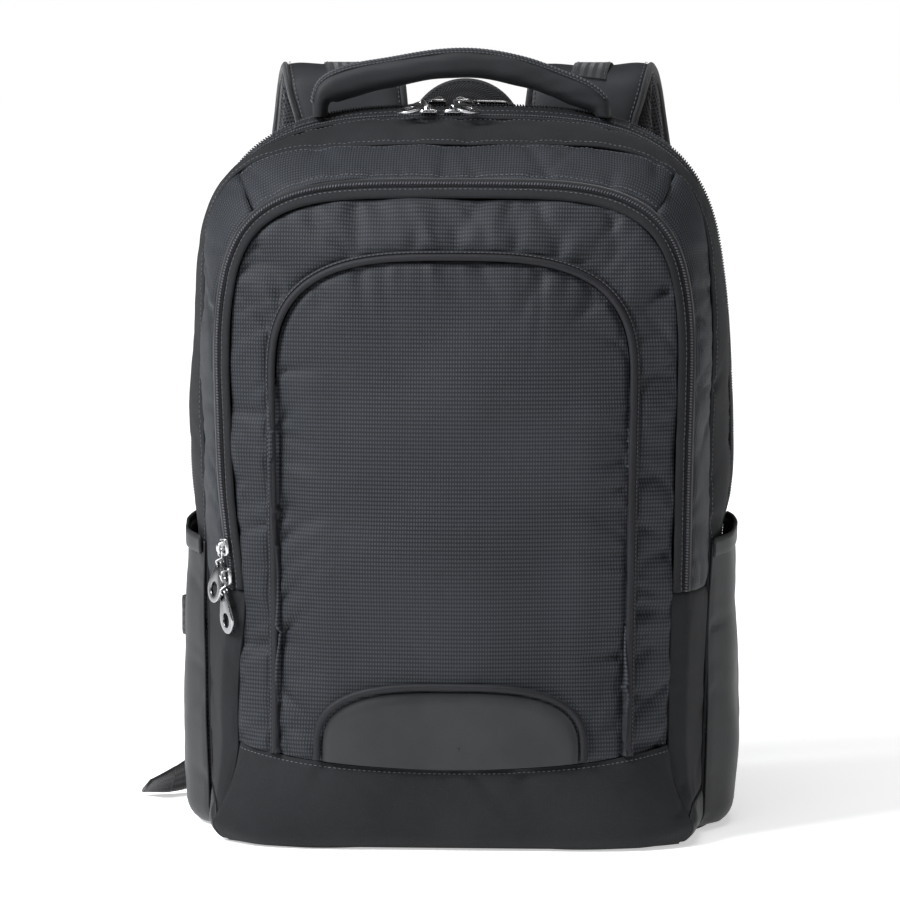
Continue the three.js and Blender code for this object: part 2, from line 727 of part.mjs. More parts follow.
function buildCompartments() {
  const inside = stations(sideHeights);
  panel('laptop_gusset', ringGrid(['backSeam', 'rearEdge', 'laptopZipRear'], stations(wholeSide)), oxford);
  panel('laptop_zip', zipGrid('laptopZipRear', 'laptopZipFront', inside), zipCoil);
  panel('top_strip', ringGrid(['laptopZipFront', 'mainZipRear'], inside), oxford);
  panel('main_zip', zipGrid('mainZipRear', 'mainZipFront', inside), zipCoil);
  panel('main_gusset', ringGrid(['mainZipFront', 'gussetMid', 'pocketSeam'], inside), oxford);
}

// Side pockets lie over the side walls, which they are sewn to in front and behind.
const pocketRings = [
  'pocketSeam', 'gussetMid', 'mainZipFront', 'mainZipRear', 'laptopZipFront', 'laptopZipRear',
];
const seamLift = pocketWall + pocketLap;

function pocketPoint(side, column, height, extra = 0) {
  const share = column / (pocketRings.length - 1);
  const mouth = mix(mouthFront, mouthRear, share);
  const ring = byName[pocketRings[column]];
  const p = V(side * halfWidth(ring, height, side), ringY(ring, height), height);
  const fill = along(standoffRows, 'up', 'off', height / mouth) * bodyHalfWidth;
  const off = seamLift + extra + (fill - seamLift) * Math.sin(Math.PI * share) ** 0.6;
  const way = outward(p);
  way.z = 0;
  return tuck(p.addScaledVector(way.normalize(), off));
}

function buildPockets() {
  const rows = [0.82, 0.62, 0.42, 0.27];
  const last = pocketRings.length - 1;
  for (const [label, side] of [['left', -1], ['right', 1]]) {
    const grid = pocketRings.map((_, column) => {
      const mouth = mix(mouthFront, mouthRear, column / last);
      const heights = [mouth, ...rows.map((r) => r * mouth), footRadius, 8, 3, 0];
      return heights.map((height) => pocketPoint(side, column, height));
    });
    panel(`side_pocket_${label}`, grid, leatherette, pocketWall);
    const strip = pocketRings.map((_, column) => {
      const mouth = mix(mouthFront, mouthRear, column / last);
      return [mouth, mouth + hemHeight].map((z) => pocketPoint(side, column, z, hemThickness - pocketWall));
    });
    panel(`pocket_hem_${label}`, strip, leatherette, hemThickness);
  }
}

// The floor of the bag follows the lower edges of everything round it.
function buildBase() {
  const frontNames = ['facingEdge', 'pocketZipRear', 'pocketSeam'];
  const rearNames = ['laptopZipRear', 'rearEdge', 'backSeam'];
  const edge = (side) => [
    ...frontNames.map((name) => ringPoint(byName[name], { side, height: 0 })),
    ...[1, 2, 3, 4].map((column) => pocketPoint(side, column, 0)),
    ...rearNames.map((name) => ringPoint(byName[name], { side, height: 0 })),
  ];
  const left = edge(-1);
  const right = edge(1);
  const last = left.length - 1;
  const front = bootShares.map((share) => bootPoint(share, 0));
  const grid = left.map((a, i) =>
    bootShares.map((share, j) => {
      const t = (share + 1) / 2;
      const bow = front[j].y - mix(left[0].y, right[0].y, t);
      const fade = Math.max(0, 1 - (3 * i) / last);
      return V(mix(a.x, right[i].x, t), mix(a.y, right[i].y, t) + bow * fade, 0);
    })
  );
  panel('base_panel', grid, oxford);
}

function buildBack() {
  const seam = byName.backSeam;
  const face = rearSeamY + clearance;
  const columns = [];
  for (let turn = 0; turn <= Math.PI + 0.01; turn += Math.PI / 10) columns.push(turn);
  const levels = [0, 0.03, 0.2, 0.4, 0.6, 0.8, 0.97, 1];
  const grid = (depthAt) =>
    columns.map((turn, i) =>
      levels.map((t, k) => {
        const side = turn <= Math.PI / 2 ? -1 : 1;
        const top = archXZ(seam, { side, turn: Math.min(turn, Math.PI - turn) });
        const z = mix(backFoot, top.z, t);
        const end = i === 0 || i === columns.length - 1;
        const x = (top.x * girth(seam, z)) / girth(seam, top.z);
        return V(x, depthAt(end || k === 0 || k === levels.length - 1), z);
      })
    );
  const rear = grid((rim) => face + backThickness - (rim ? backEdgeDrop : 0));
  wallBetween('back_panel', rear, grid(() => face), oxford);

  const padFace = face + backThickness + clearance;
  const across = [-1, -0.95, -0.13, -0.07, 0.07, 0.13, 0.95, 1];
  const upward = [0, 0.02, 0.3, 0.33, 0.36, 0.39, 0.64, 0.67, 0.7, 0.73, 0.98, 1];
  const isChannel = (list, value) => {
    const at = list.indexOf(value);
    return at === 0 || at === list.length - 1;
  };
  const lowAcross = [-0.07, 0.07];
  const lowUp = [0.33, 0.36, 0.67, 0.7];
  const thick = (u, v) =>
    isChannel(across, u) || isChannel(upward, v) || lowAcross.includes(u) || lowUp.includes(v)
      ? channelThickness
      : padThickness;
  const pad = (lift) =>
    across.map((u) =>
      upward.map((v) => V(u * padHalfWidth, padFace + lift(u, v), mix(padFoot, padTop, v)))
    );
  wallBetween('back_pad', pad(thick), pad(() => 0), airMesh);
}

// Flat ribbons of webbing, through chosen places with a chosen width direction at each.
function ribbon(name, controls, width, thickness, material, perSpan = 3) {
  const spine = new THREE.CatmullRomCurve3(controls.map((c) => c.at));
  const wide = new THREE.CatmullRomCurve3(controls.map((c) => c.across.clone().normalize()));
  const steps = (controls.length - 1) * perSpan;
  const loops = [];
  for (let i = 0; i <= steps; i += 1) {
    const at = spine.getPoint(i / steps);
    const run = spine.getTangent(i / steps);
    const across = wide.getPoint(i / steps);
    across.addScaledVector(run, -across.dot(run)).normalize();
    const out = run.clone().cross(across).normalize();
    const corner = (u, n) =>
      at.clone().addScaledVector(across, (u * width) / 2).addScaledVector(out, (n * thickness) / 2);
    loops.push([corner(-1, -1), corner(1, -1), corner(1, 1), corner(-1, 1)]);
  }
  return loft(name, loops, material);
}

// The handle's ends stand on the strip between the two large zips.
const stripY = (ringY(byName.laptopZipFront, bodyHeight) + ringY(byName.mainZipRear, bodyHeight)) / 2;

function buildHandle() {
  const foot = archHeight(byName.laptopZipFront, handleHalfSpan) + handleSeat;
  const spine = new THREE.CatmullRomCurve3(
    handleRows.map((r) => V(r.along * handleHalfSpan, stripY, foot + r.up * handleRise))
  );
  const steps = (handleRows.length - 1) * 2;
  const last = handleRows.length - 1;
  const sides = 8;
  const loops = [];
  for (let i = 0; i <= steps; i += 1) {
    const t = i / steps;
    const row = Math.min(Math.floor(t * last), last - 1);
    const part = t * last - row;
    const thick = mix(handleRows[row].thick, handleRows[row + 1].thick, part) * handleThickness;
    const deep = mix(handleRows[row].deep, handleRows[row + 1].deep, part) * handleDepth;
    const at = spine.getPoint(t);
    const run = spine.getTangent(t);
    const out = V(-run.z, 0, run.x);
    if (i === 0) out.set(-1, 0, 0);
    if (i === steps) out.set(1, 0, 0);
    loops.push(
      Array.from({ length: sides }, (_, k) => {
        const angle = ((k + 0.5) * 2 * Math.PI) / sides;
        const point = at.clone().addScaledVector(out, (Math.sin(angle) * thick) / 2);
        return point.add(V(0, (Math.cos(angle) * deep) / 2, 0));
      })
    );
  }
  loft('grab_handle', loops, ripstop);
}

function buildHaulLoop() {
  const y = rearSeamY + clearance + backThickness + webbingThickness / 2 + clearance;
  const count = 14;
  const outer = haulHalfSpan + webbingWidth / 2;
  const inner = haulHalfSpan - webbingWidth / 2;
  const straight = haulRise + webbingWidth / 2 - outer;
  const edge = (radius, off) => {
    const line = [V(-radius, y + off, haulFoot)];
    for (let i = 0; i <= count; i += 1) {
      const turn = Math.PI * (1 - i / count);
      line.push(V(radius * Math.cos(turn), y + off, haulFoot + straight + radius * Math.sin(turn)));
    }
    line.push(V(radius, y + off, haulFoot));
    return line;
  };
  const side = (off) => [edge(outer, off), edge(inner, off)];
  wallBetween('haul_loop', side(webbingThickness / 2), side(-webbingThickness / 2), webbingCloth);
}

// Shoulder straps

const strapRoot = rearSeamY + clearance + backThickness + strapThickness + tapeThickness + 2 * clearance;

function strapFrames(side) {
  const route = new THREE.CatmullRomCurve3(
    strapRows.map((r) => V(side * r.out * strapSpread, strapRoot + r.back * strapStandoff, r.up * strapTop))
  );
  const last = strapRows.length - 1;
  const steps = last + 6;
  return Array.from({ length: steps + 1 }, (_, i) => {
    const t = i / steps;
    const row = Math.min(Math.floor(t * last), last - 1);
    const part = t * last - row;
    const run = route.getTangent(t);
    const across = V(1, 0, 0);
    return {
      at: route.getPoint(t),
      run,
      across,
      out: across.clone().cross(run).normalize(),
      wide: mix(strapRows[row].wide, strapRows[row + 1].wide, part) * strapWidth,
      thick: mix(strapRows[row].thick, strapRows[row + 1].thick, part) * strapThickness,
    };
  });
}

// The tape begins a few sections up from the strap's foot on the back panel.
const tapeStart = 3;

// Half of the strap's section: u is a share of its width, n a share of its thickness.
const strapSection = [
  { u: -0.5, n: 0.12 },
  { u: -0.47, n: 0.55 },
  { u: -0.36, n: 1 },
  { u: 0, n: 1 },
  { u: 0.36, n: 1 },
  { u: 0.47, n: 0.55 },
  { u: 0.5, n: 0.12 },
  { u: 0.46, n: 0 },
  { u: 0, n: 0 },
  { u: -0.46, n: 0 },
];

function onFrame(f, u, n, down = 0) {
  const point = f.at.clone().addScaledVector(f.across, u).addScaledVector(f.out, n);
  return point.addScaledVector(f.run, down);
}

function buildStrap(label, side) {
  const frames = strapFrames(side);
  const loops = frames.map((f) => strapSection.map((s) => onFrame(f, s.u * f.wide, s.n * f.thick)));
  loft(`shoulder_strap_${label}`, loops, ripstop);

  const layer = (n) =>
    frames.map((f) => [-1, 0, 1].map((u) => onFrame(f, u * (f.wide / 2 - meshInset), n)));
  wallBetween(`strap_mesh_${label}`, layer(-clearance), layer(-clearance - meshThickness), airMesh);

  const end = frames[frames.length - 1];
  const mid = lockThickness / 2 + lockLift;
  const barTop = mid + lockThickness / 2 + 2 * clearance + tapeThickness / 2;
  const barFoot = mid - lockThickness / 2 - 2 * clearance - tapeThickness / 2;
  const tapeLift = 1.5 * clearance + tapeThickness / 2;
  const over = frames.slice(tapeStart).map((f) => onFrame(f, 0, f.thick + tapeLift));
  const firstSlot = lockReach + lockBar + lockSlot / 2;
  const secondSlot = firstSlot + lockSlot + lockBar;
  const turn = [
    onFrame(end, 0, barTop, lockReach),
    onFrame(end, 0, barTop, firstSlot - webbingLead),
    onFrame(end, 0, barTop - 1, firstSlot - 0.4),
    onFrame(end, 0, mid, firstSlot + 0.2),
    onFrame(end, 0, barFoot + 1, firstSlot - 0.4),
    onFrame(end, 0, barFoot, firstSlot - webbingLead),
    onFrame(end, 0, barFoot, lockReach - 1),
    onFrame(end, 0, barFoot, lockReach / 3),
  ];
  const acrossEnd = end.across;
  const tape = [
    ...over.map((at, i) => ({ at, across: frames[i + tapeStart].across })),
    ...turn.map((at) => ({ at, across: acrossEnd })),
  ];
  ribbon(`strap_tape_${label}`, tape, tapeWidth, tapeThickness, webbingCloth, 2);

  buildLock(`ladder_lock_${label}`, end, mid);

  const [anchorRows, tailRows] =
    side < 0 ? [leftAnchorRows, leftTailRows] : [rightAnchorRows, rightTailRows];
  const free = (rows) =>
    rows.map((r) => ({
      at: V(side * r.out * bodyHalfWidth, strapRoot + r.back * strapStandoff, r.up * bodyHeight),
      across: V(r.acrossX, side * r.acrossY, side * r.acrossZ),
    }));
  const barLow = mid - lockThickness / 2 - 2 * clearance - webbingThickness / 2;
  const barHigh = mid + lockThickness / 2 + 2 * clearance + webbingThickness / 2;
  const threaded = [
    onFrame(end, 0, barLow - webbingLead, secondSlot + 6 * webbingLead),
    onFrame(end, 0, barLow - 0.6, secondSlot + lockBar + webbingLead),
    onFrame(end, 0, barLow, secondSlot + webbingLead),
    onFrame(end, 0, barLow + 1, secondSlot + 0.4),
    onFrame(end, 0, mid, secondSlot - 0.3),
    onFrame(end, 0, barHigh - 1, secondSlot + 0.4),
    onFrame(end, 0, barHigh, secondSlot + webbingLead),
    onFrame(end, 0, barHigh + clearance, secondSlot + lockBar + webbingLead),
  ].map((at) => ({ at, across: acrossEnd }));
  const route = [...free(anchorRows), ...threaded, ...free(tailRows)];
  ribbon(`strap_webbing_${label}`, route, webbingWidth, webbingThickness, webbingCloth, 2);
}

// A flat plastic lock with two slots: the tape holds its first bar, the webbing its last.
function buildLock(name, end, mid) {
  const half = lockWidth / 2;
  const length = 3 * lockBar + 2 * lockSlot;
  const outline = new THREE.Shape();
  outline.moveTo(-half + lockNip, 0);
  outline.lineTo(half - lockNip, 0);
  outline.lineTo(half, lockNip);
  outline.lineTo(half, length - lockNip);
  outline.lineTo(half - lockNip, length);
  outline.lineTo(-half + lockNip, length);
  outline.lineTo(-half, length - lockNip);
  outline.lineTo(-half, lockNip);
  const slotHalf = webbingWidth / 2 + slotRoom;
  for (const first of [lockBar, 2 * lockBar + lockSlot]) {
    const slot = new THREE.Path();
    slot.moveTo(-slotHalf, first);
    slot.lineTo(-slotHalf, first + lockSlot);
    slot.lineTo(slotHalf, first + lockSlot);
    slot.lineTo(slotHalf, first);
    outline.holes.push(slot);
  }
  const geometry = new THREE.ExtrudeGeometry(outline, { depth: lockThickness, bevelEnabled: false });
  const corner = onFrame(end, 0, mid - lockThickness / 2, lockReach);
  const turn = new THREE.Matrix4().makeBasis(end.across, end.run, end.out.clone());
  const right = end.across.clone().cross(end.run);
  if (right.dot(end.out) < 0) throw new Error('lock frame is left handed');
  geometry.applyMatrix4(turn.setPosition(corner));
  place(name, geometry, plastic);
}

// Zip hardware

const zipEdges = {
  main: ['mainZipRear', 'mainZipFront'],
  laptop: ['laptopZipRear', 'laptopZipFront'],
  pocket: ['pocketZipRear', 'pocketZipFront'],
};

function zipFrame(row) {
  const pair = zipEdges[row.zip].map((name) => byName[name]);
  const pointAt = (value) => {
    const points = pair.map((ring) => {
      if (row.zip === 'pocket') return ringPoint(ring, { side: -1, height: value * bodyHeight });
      const x = value * bodyHalfWidth;
      const z = archHeight(ring, x);
      return V(x, ringY(ring, z), z);
    });
    return { middle: points[0].clone().lerp(points[1], 0.5), across: points[0].clone().sub(points[1]) };
  };
  const here = pointAt(row.along);
  const run = pointAt(row.along + 0.01).middle.sub(pointAt(row.along - 0.01).middle).normalize();
  const across = here.across.normalize();
  across.addScaledVector(run, -across.dot(run)).normalize();
  const out = run.clone().cross(across).normalize();
  if (out.dot(outward(here.middle)) < 0) {
    out.negate();
    across.negate();
  }
  return { at: here.middle.addScaledVector(out, coilRise + clearance), run, across, out };
}

const toSolid = (geometry) => {
  const bare = geometry.index ? geometry.clone() : geometry;
  bare.deleteAttribute('normal');
  bare.deleteAttribute('uv');
  const merged = mergeVertices(bare, 0.0001);
  return new wasm.Manifold(new wasm.Mesh({
    numProp: 3,
    vertProperties: new Float32Array(merged.attributes.position.array),
    triVerts: new Uint32Array(merged.index.array),
  }));
};

const fromSolid = (solid) => {
  const mesh = solid.getMesh();
  const geometry = new THREE.BufferGeometry();
  geometry.setAttribute('position', new THREE.BufferAttribute(mesh.vertProperties, 3));
  geometry.setIndex(new THREE.BufferAttribute(mesh.triVerts, 1));
  return geometry;
};

// A zip slider with a swivelling bridge, in its own frame: X along the zip, Z out of the cloth.
function sliderGeometry(swivel) {
  const half = sliderLength / 2;
  const side = new THREE.Shape();
  side.moveTo(-half, 0);
  side.lineTo(half, 0);
  side.lineTo(half, sliderHeight * 0.6);
  side.lineTo(half * 0.7, sliderHeight);
  side.lineTo(-half * 0.7, sliderHeight);
  side.lineTo(-half, sliderHeight * 0.6);
  const body = new THREE.ExtrudeGeometry(side, { depth: sliderWidth, bevelEnabled: false });
  body.translate(0, 0, -sliderWidth / 2);
  const top = sliderHeight + bridgeHeight;
  const arch = new THREE.Shape();
  arch.moveTo(-bridgeReach, sliderHeight - 0.5);
  arch.lineTo(bridgeReach, sliderHeight - 0.5);
  arch.lineTo(bridgeReach * 0.85, top - 0.6);
  arch.lineTo(bridgeReach * 0.6, top);
  arch.lineTo(-bridgeReach * 0.6, top);
  arch.lineTo(-bridgeReach * 0.85, top - 0.6);
  const hole = new THREE.Path();
  const inside = bridgeReach - bridgeWall;
  hole.moveTo(-inside, sliderHeight + 0.1);
  hole.lineTo(-inside * 0.8, top - bridgeWall);
  hole.lineTo(inside * 0.8, top - bridgeWall);
  hole.lineTo(inside, sliderHeight + 0.1);
  arch.holes.push(hole);
  const bridge = new THREE.ExtrudeGeometry(arch, { depth: bridgeWidth, bevelEnabled: false });
  bridge.translate(0, 0, -bridgeWidth / 2);
  bridge.rotateY(swivel);
  const joined = fromSolid(toSolid(body).add(toSolid(bridge)));
  joined.rotateX(Math.PI / 2);
  return joined;
}

function pullGeometry() {
  const half = pullWidth / 2;
  const outline = new THREE.Shape();
  const ringCentre = -(pullLength - half);
  outline.absarc(0, ringCentre, half, Math.PI * 1.09, -Math.PI * 0.09, false);
  outline.absarc(0, -pullEyeDrop, pullNeck, 0.3, Math.PI - 0.3, false);
  outline.closePath();
  const round = (x, y, radius) => {
    const path = new THREE.Path();
    path.absarc(x, y, radius, 0, 2 * Math.PI, true);
    return path;
  };
  outline.holes.push(round(0, ringCentre, pullHole / 2), round(0, -pullEyeDrop, pullEye / 2));
  const settings = { depth: pullThickness, bevelEnabled: false, curveSegments: 4 };
  const plate = new THREE.ExtrudeGeometry(outline, settings);
  plate.translate(0, 0, -pullThickness / 2);
  return plate;
}

// Wire link between bridge and pull: it turns a quarter on the way, so the pull can lie flat.
function buildLink(name, from, way, across, flat) {
  const steps = 14;
  const sides = 4;
  const centre = from.clone().addScaledVector(way, linkSpan / 2);
  const at = (t) => {
    const turn = 2 * Math.PI * t;
    const along = (1 - Math.cos(turn)) / 2;
    const twist = THREE.MathUtils.smoothstep(along, 0.45, 0.8) * (Math.PI / 2);
    const wide = across.clone().multiplyScalar(Math.cos(twist)).addScaledVector(flat, Math.sin(twist));
    const point = centre.clone().addScaledVector(way, (-Math.cos(turn) * linkSpan) / 2);
    return point.addScaledVector(wide, linkHalfWidth * Math.sin(turn));
  };
  const loops = Array.from({ length: steps }, (_, i) => {
    const here = at(i / steps);
    const run = at((i + 0.5) / steps).sub(at((i - 0.5) / steps)).normalize();
    const first = here.clone().sub(centre);
    first.addScaledVector(run, -first.dot(run)).normalize();
    const second = run.clone().cross(first);
    return Array.from({ length: sides }, (_, k) => {
      const angle = (k * 2 * Math.PI) / sides;
      const point = here.clone().addScaledVector(first, (Math.cos(angle) * linkWire) / 2);
      return point.addScaledVector(second, (Math.sin(angle) * linkWire) / 2);
    });
  });
  loft(name, loops, metal, true);
}

function buildZipHardware() {
  for (const row of sliderRows) {
    const f = zipFrame(row);
    const hang = V(row.hangX, row.hangY, row.hangZ);
    hang.addScaledVector(f.out, -hang.dot(f.out)).normalize();
    const sideways = f.out.clone().cross(f.run);
    const slider = sliderGeometry(Math.atan2(hang.dot(sideways), hang.dot(f.run)));
    const basis = new THREE.Matrix4().makeBasis(f.run, sideways, f.out);
    slider.applyMatrix4(basis.setPosition(f.at));
    place(`slider_${row.name}`, slider, metal);

    const hole = sliderHeight + (bridgeHeight - bridgeWall) / 2;
    const from = f.at.clone().addScaledVector(f.out, hole);
    const way = hang.clone().addScaledVector(f.out, 0.06).normalize();
    const flat = f.out.clone().addScaledVector(way, -f.out.dot(way)).normalize();
    const across = f.out.clone().cross(hang).normalize();
    buildLink(`link_${row.name}`, from, way, across, flat);

    const eye = from.clone().addScaledVector(way, linkSpan);
    const pull = pullGeometry();
    const lie = hang.clone().addScaledVector(f.out, row.tilt).normalize();
    const face = f.out.clone().addScaledVector(lie, -f.out.dot(lie)).normalize();
    const turn = new THREE.Matrix4().makeBasis(face.clone().cross(lie), lie.clone().negate(), face);
    if (turn.determinant() < 0) throw new Error('pull frame is left handed');
    pull.applyMatrix4(turn.setPosition(eye.clone().addScaledVector(lie, -pullEyeDrop)));
    place(`pull_${row.name}`, pull, metal);
  }
}

buildCompartments();
buildSides();
buildFront();
buildPatch();
buildBoot();
buildPockets();
buildBase();
buildBack();
buildHandle();
buildHaulLoop();
buildStrap('left', -1);
buildStrap('right', 1);
buildZipHardware();

export default group;
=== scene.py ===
# %% [markdown]
# # A laptop backpack
# The real bag is sewn from about twenty cut pieces of cloth, with piping, zips and webbing between them.
# It could be one lump pushed into shape, but cloth reads as cloth only at its seams.
# So each sewn piece is its own mesh, made from the rule that shapes the whole bag, and every edge rolls in.
# Lengths in this script are millimetres, and each mesh is written in metres at the end.

import json
import math
import bmesh
import bpy
import numpy as np
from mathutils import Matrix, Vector, kdtree, noise

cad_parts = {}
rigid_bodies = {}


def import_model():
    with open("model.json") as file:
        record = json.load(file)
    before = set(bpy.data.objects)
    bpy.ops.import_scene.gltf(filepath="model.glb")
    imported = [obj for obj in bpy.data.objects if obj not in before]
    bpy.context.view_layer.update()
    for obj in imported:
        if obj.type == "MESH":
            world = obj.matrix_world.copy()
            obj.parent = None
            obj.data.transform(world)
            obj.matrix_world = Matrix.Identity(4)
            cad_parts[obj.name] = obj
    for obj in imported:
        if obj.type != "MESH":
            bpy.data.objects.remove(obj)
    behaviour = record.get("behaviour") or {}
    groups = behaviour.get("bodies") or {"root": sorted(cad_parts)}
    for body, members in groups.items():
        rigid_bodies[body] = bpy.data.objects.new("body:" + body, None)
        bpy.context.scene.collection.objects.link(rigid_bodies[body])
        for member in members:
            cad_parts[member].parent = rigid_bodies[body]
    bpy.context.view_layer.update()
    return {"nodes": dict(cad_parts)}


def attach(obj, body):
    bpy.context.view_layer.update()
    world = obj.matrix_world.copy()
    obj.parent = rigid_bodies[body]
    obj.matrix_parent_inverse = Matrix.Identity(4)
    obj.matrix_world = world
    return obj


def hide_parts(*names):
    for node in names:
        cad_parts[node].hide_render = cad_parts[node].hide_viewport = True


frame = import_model()
print("nodes in the frame:", len(frame["nodes"]))

# %% [markdown]
# ## Camera, floor and light
# A long lens a little above the bag keeps its sides nearly upright. One wide light from the upper left gives the
# soft highlights on the cloth, one from above catches the top, and a weak one opens the shadows on the right.
# Black cloth would turn grey in bright white surroundings. So they are white only where the camera sees them, and
# light the bag dimly. The floor glows a little, and more with distance, so that it has no visible end.

# %% Camera
TARGET = Vector((0.0, 0.0, 0.230))
CAMERA_TURN, CAMERA_RISE, CAMERA_FAR = 3.0, 6.0, 3.135
LENS, FILM_WIDE, SEEN_TO = 205.6, 36, 30
PICTURE_WIDE, MOVED_LEFT, MOVED_UP = 900, 8, 3.6


def stand(obj, turn, rise, far):
    """Puts a camera or a light round the bag, aimed at it: turn 0 is in front, and rise is above the horizon."""
    a, e = math.radians(turn), math.radians(rise)
    way = Vector((math.sin(a) * math.cos(e), -math.cos(a) * math.cos(e), math.sin(e)))
    bpy.context.scene.collection.objects.link(obj)
    obj.location = TARGET + way * far
    obj.rotation_euler = (TARGET - obj.location).to_track_quat("-Z", "Y").to_euler()


camera = bpy.data.objects.new("camera", bpy.data.cameras.new("camera"))
camera.data.lens = LENS
camera.data.sensor_width = FILM_WIDE
camera.data.shift_x = -MOVED_LEFT / PICTURE_WIDE
camera.data.shift_y = MOVED_UP / PICTURE_WIDE
camera.data.clip_end = SEEN_TO
stand(camera, CAMERA_TURN, CAMERA_RISE, CAMERA_FAR)
bpy.context.scene.camera = camera
print("camera at", [round(v, 3) for v in camera.location])

# %% Floor and lights
bpy.context.scene.view_settings.view_transform = "Standard"


# turn, rise and distance, then size, power and colour
LIGHTS = {
    "left_light": (-56, 40, 2.4, 1.0, 92, (0.94, 0.97, 1)),
    "right_light": (60, 24, 2.6, 1.1, 3, (1, 1, 1)),
    "top_light": (10, 78, 2.2, 1.4, 22, (1, 1, 1)),
}
WORLD_SEEN, WORLD_LIGHTS, FLOOR_HALF = 1.0, 0.12, 12

for name, (turn, rise, far, size, power, colour) in LIGHTS.items():
    light = bpy.data.objects.new(name, bpy.data.lights.new(name, "AREA"))
    light.data.size, light.data.energy, light.data.color = size, power, colour
    stand(light, turn, rise, far)

world = bpy.data.worlds.new("surroundings")
world.use_nodes = True
world.node_tree.nodes["Background"].inputs["Color"].default_value = (1, 1, 1, 1)
seen = world.node_tree.nodes.new("ShaderNodeLightPath").outputs["Is Camera Ray"]
brightness = world.node_tree.nodes.new("ShaderNodeMath")
brightness.operation = "MULTIPLY_ADD"
brightness.inputs[1].default_value = WORLD_SEEN - WORLD_LIGHTS
brightness.inputs[2].default_value = WORLD_LIGHTS
world.node_tree.links.new(seen, brightness.inputs[0])
world.node_tree.links.new(brightness.outputs[0], world.node_tree.nodes["Background"].inputs["Strength"])
bpy.context.scene.world = world

floor_mesh = bpy.data.meshes.new("floor")
floor_corners = [(x * FLOOR_HALF, y * FLOOR_HALF, 0) for x, y in ((-1, -1), (1, -1), (1, 1), (-1, 1))]
floor_mesh.from_pydata(floor_corners, [], [(0, 1, 2, 3)])
floor = bpy.data.objects.new("floor", floor_mesh)
bpy.context.scene.collection.objects.link(floor)

# %% [markdown]
# ## Cloths and finishes
# Every finish is built from nodes, so it holds its detail at any distance. The weave of a cloth has to follow the
# cut piece, so the cloths read the piece's UV map, which is laid out in metres: a pitch of 1.65 mm is then just a
# scale. A shared helper lays down the parts that all cloths have: two crossing threads, soft blotches and sheen.

# %% Node helpers


def hex_colour(text):
    """A colour as its screen code, made linear."""
    parts = [int(text[i : i + 2], 16) / 255 for i in (0, 2, 4)]
    return [c / 12.92 if c < 0.04045 else ((c + 0.055) / 1.055) ** 2.4 for c in parts] + [1]


class Finish:
    """A material that is built up node by node."""

    def __init__(self, name, roughness, metallic=0.0, sheen=0.0, coat=0.0):
        start = {"Roughness": roughness, "Metallic": metallic, "Sheen Weight": sheen, "Sheen Roughness": 0.45,
                 "Specular IOR Level": 0.5 if metallic else 0.2, "Coat Weight": coat}
        self.material = bpy.data.materials.new(name)
        self.material.use_nodes = True
        self.nodes = self.material.node_tree.nodes
        self.links = self.material.node_tree.links
        self.shader = self.nodes["Principled BSDF"]
        for socket, value in start.items():
            self.shader.inputs[socket].default_value = value
        self.height = None

    def add(self, kind, **settings):
        node = self.nodes.new(kind)
        for key, value in settings.items():
            setattr(node, key, value)
        return node

    def link(self, source, target):
        self.links.new(source, target)

    def give(self, value, socket):
        """Sets a socket to a number or a colour, or links it to another node's output."""
        if isinstance(value, (int, float, list, tuple)):
            socket.default_value = value
        else:
            self.link(value, socket)

    def place(self, kind="UV"):
        return self.add("ShaderNodeTexCoord").outputs[kind]

    def scaled(self, x, y, z=1.0):
        """Places on the piece's UV map, with its own scale for each direction."""
        mapping = self.add("ShaderNodeMapping")
        mapping.inputs["Scale"].default_value = (x, y, z)
        self.link(self.place(), mapping.inputs["Vector"])
        return mapping.outputs["Vector"]

    def math(self, operation, a, b=0.0):
        node = self.add("ShaderNodeMath", operation=operation)
        for socket, value in zip(node.inputs, (a, b)):
            self.give(value, socket)
        return node.outputs[0]

    def spread(self, value, low, high, to_low=0.0, to_high=1.0):
        node = self.add("ShaderNodeMapRange")
        node.interpolation_type = "SMOOTHSTEP"
        for name, number in (("From Min", low), ("From Max", high), ("To Min", to_low), ("To Max", to_high)):
            node.inputs[name].default_value = number
        self.link(value, node.inputs["Value"])
        return node.outputs["Result"]

    def noise(self, vector, scale, detail, roughness=0.55):
        node = self.add("ShaderNodeTexNoise")
        for name, value in (("Scale", scale), ("Detail", detail), ("Roughness", roughness), ("Vector", vector)):
            self.give(value, node.inputs[name])
        return node.outputs["Fac"]

    def cells(self, vector, scale=1.0, randomness=1.0, feature="F1"):
        """How far each place is from the middle of its cell."""
        node = self.add("ShaderNodeTexVoronoi", feature=feature)
        for name, value in (("Scale", scale), ("Randomness", randomness), ("Vector", vector)):
            self.give(value, node.inputs[name])
        return node.outputs["Distance"]

    def blend(self, share, first, second):
        """A mix of two colours, each a screen code, a colour or another node's output."""
        node = self.add("ShaderNodeMix", data_type="RGBA")
        for index, value in ((0, share), (6, first), (7, second)):
            self.give(hex_colour(value) if isinstance(value, str) else value, node.inputs[index])
        return node.outputs[2]

    def bump(self, value, depth_mm, strength):
        """Stacks another bump on those already there."""
        node = self.add("ShaderNodeBump")
        node.inputs["Distance"].default_value = depth_mm / 1000
        node.inputs["Strength"].default_value = strength
        self.link(value, node.inputs["Height"])
        if self.height is not None:
            self.link(self.height, node.inputs["Normal"])
        self.height = node.outputs["Normal"]

    def done(self, colour, roughness=None):
        self.link(colour, self.shader.inputs["Base Color"])
        if roughness is not None:
            self.link(roughness, self.shader.inputs["Roughness"])
        if self.height is not None:
            self.link(self.height, self.shader.inputs["Normal"])
        return self.material


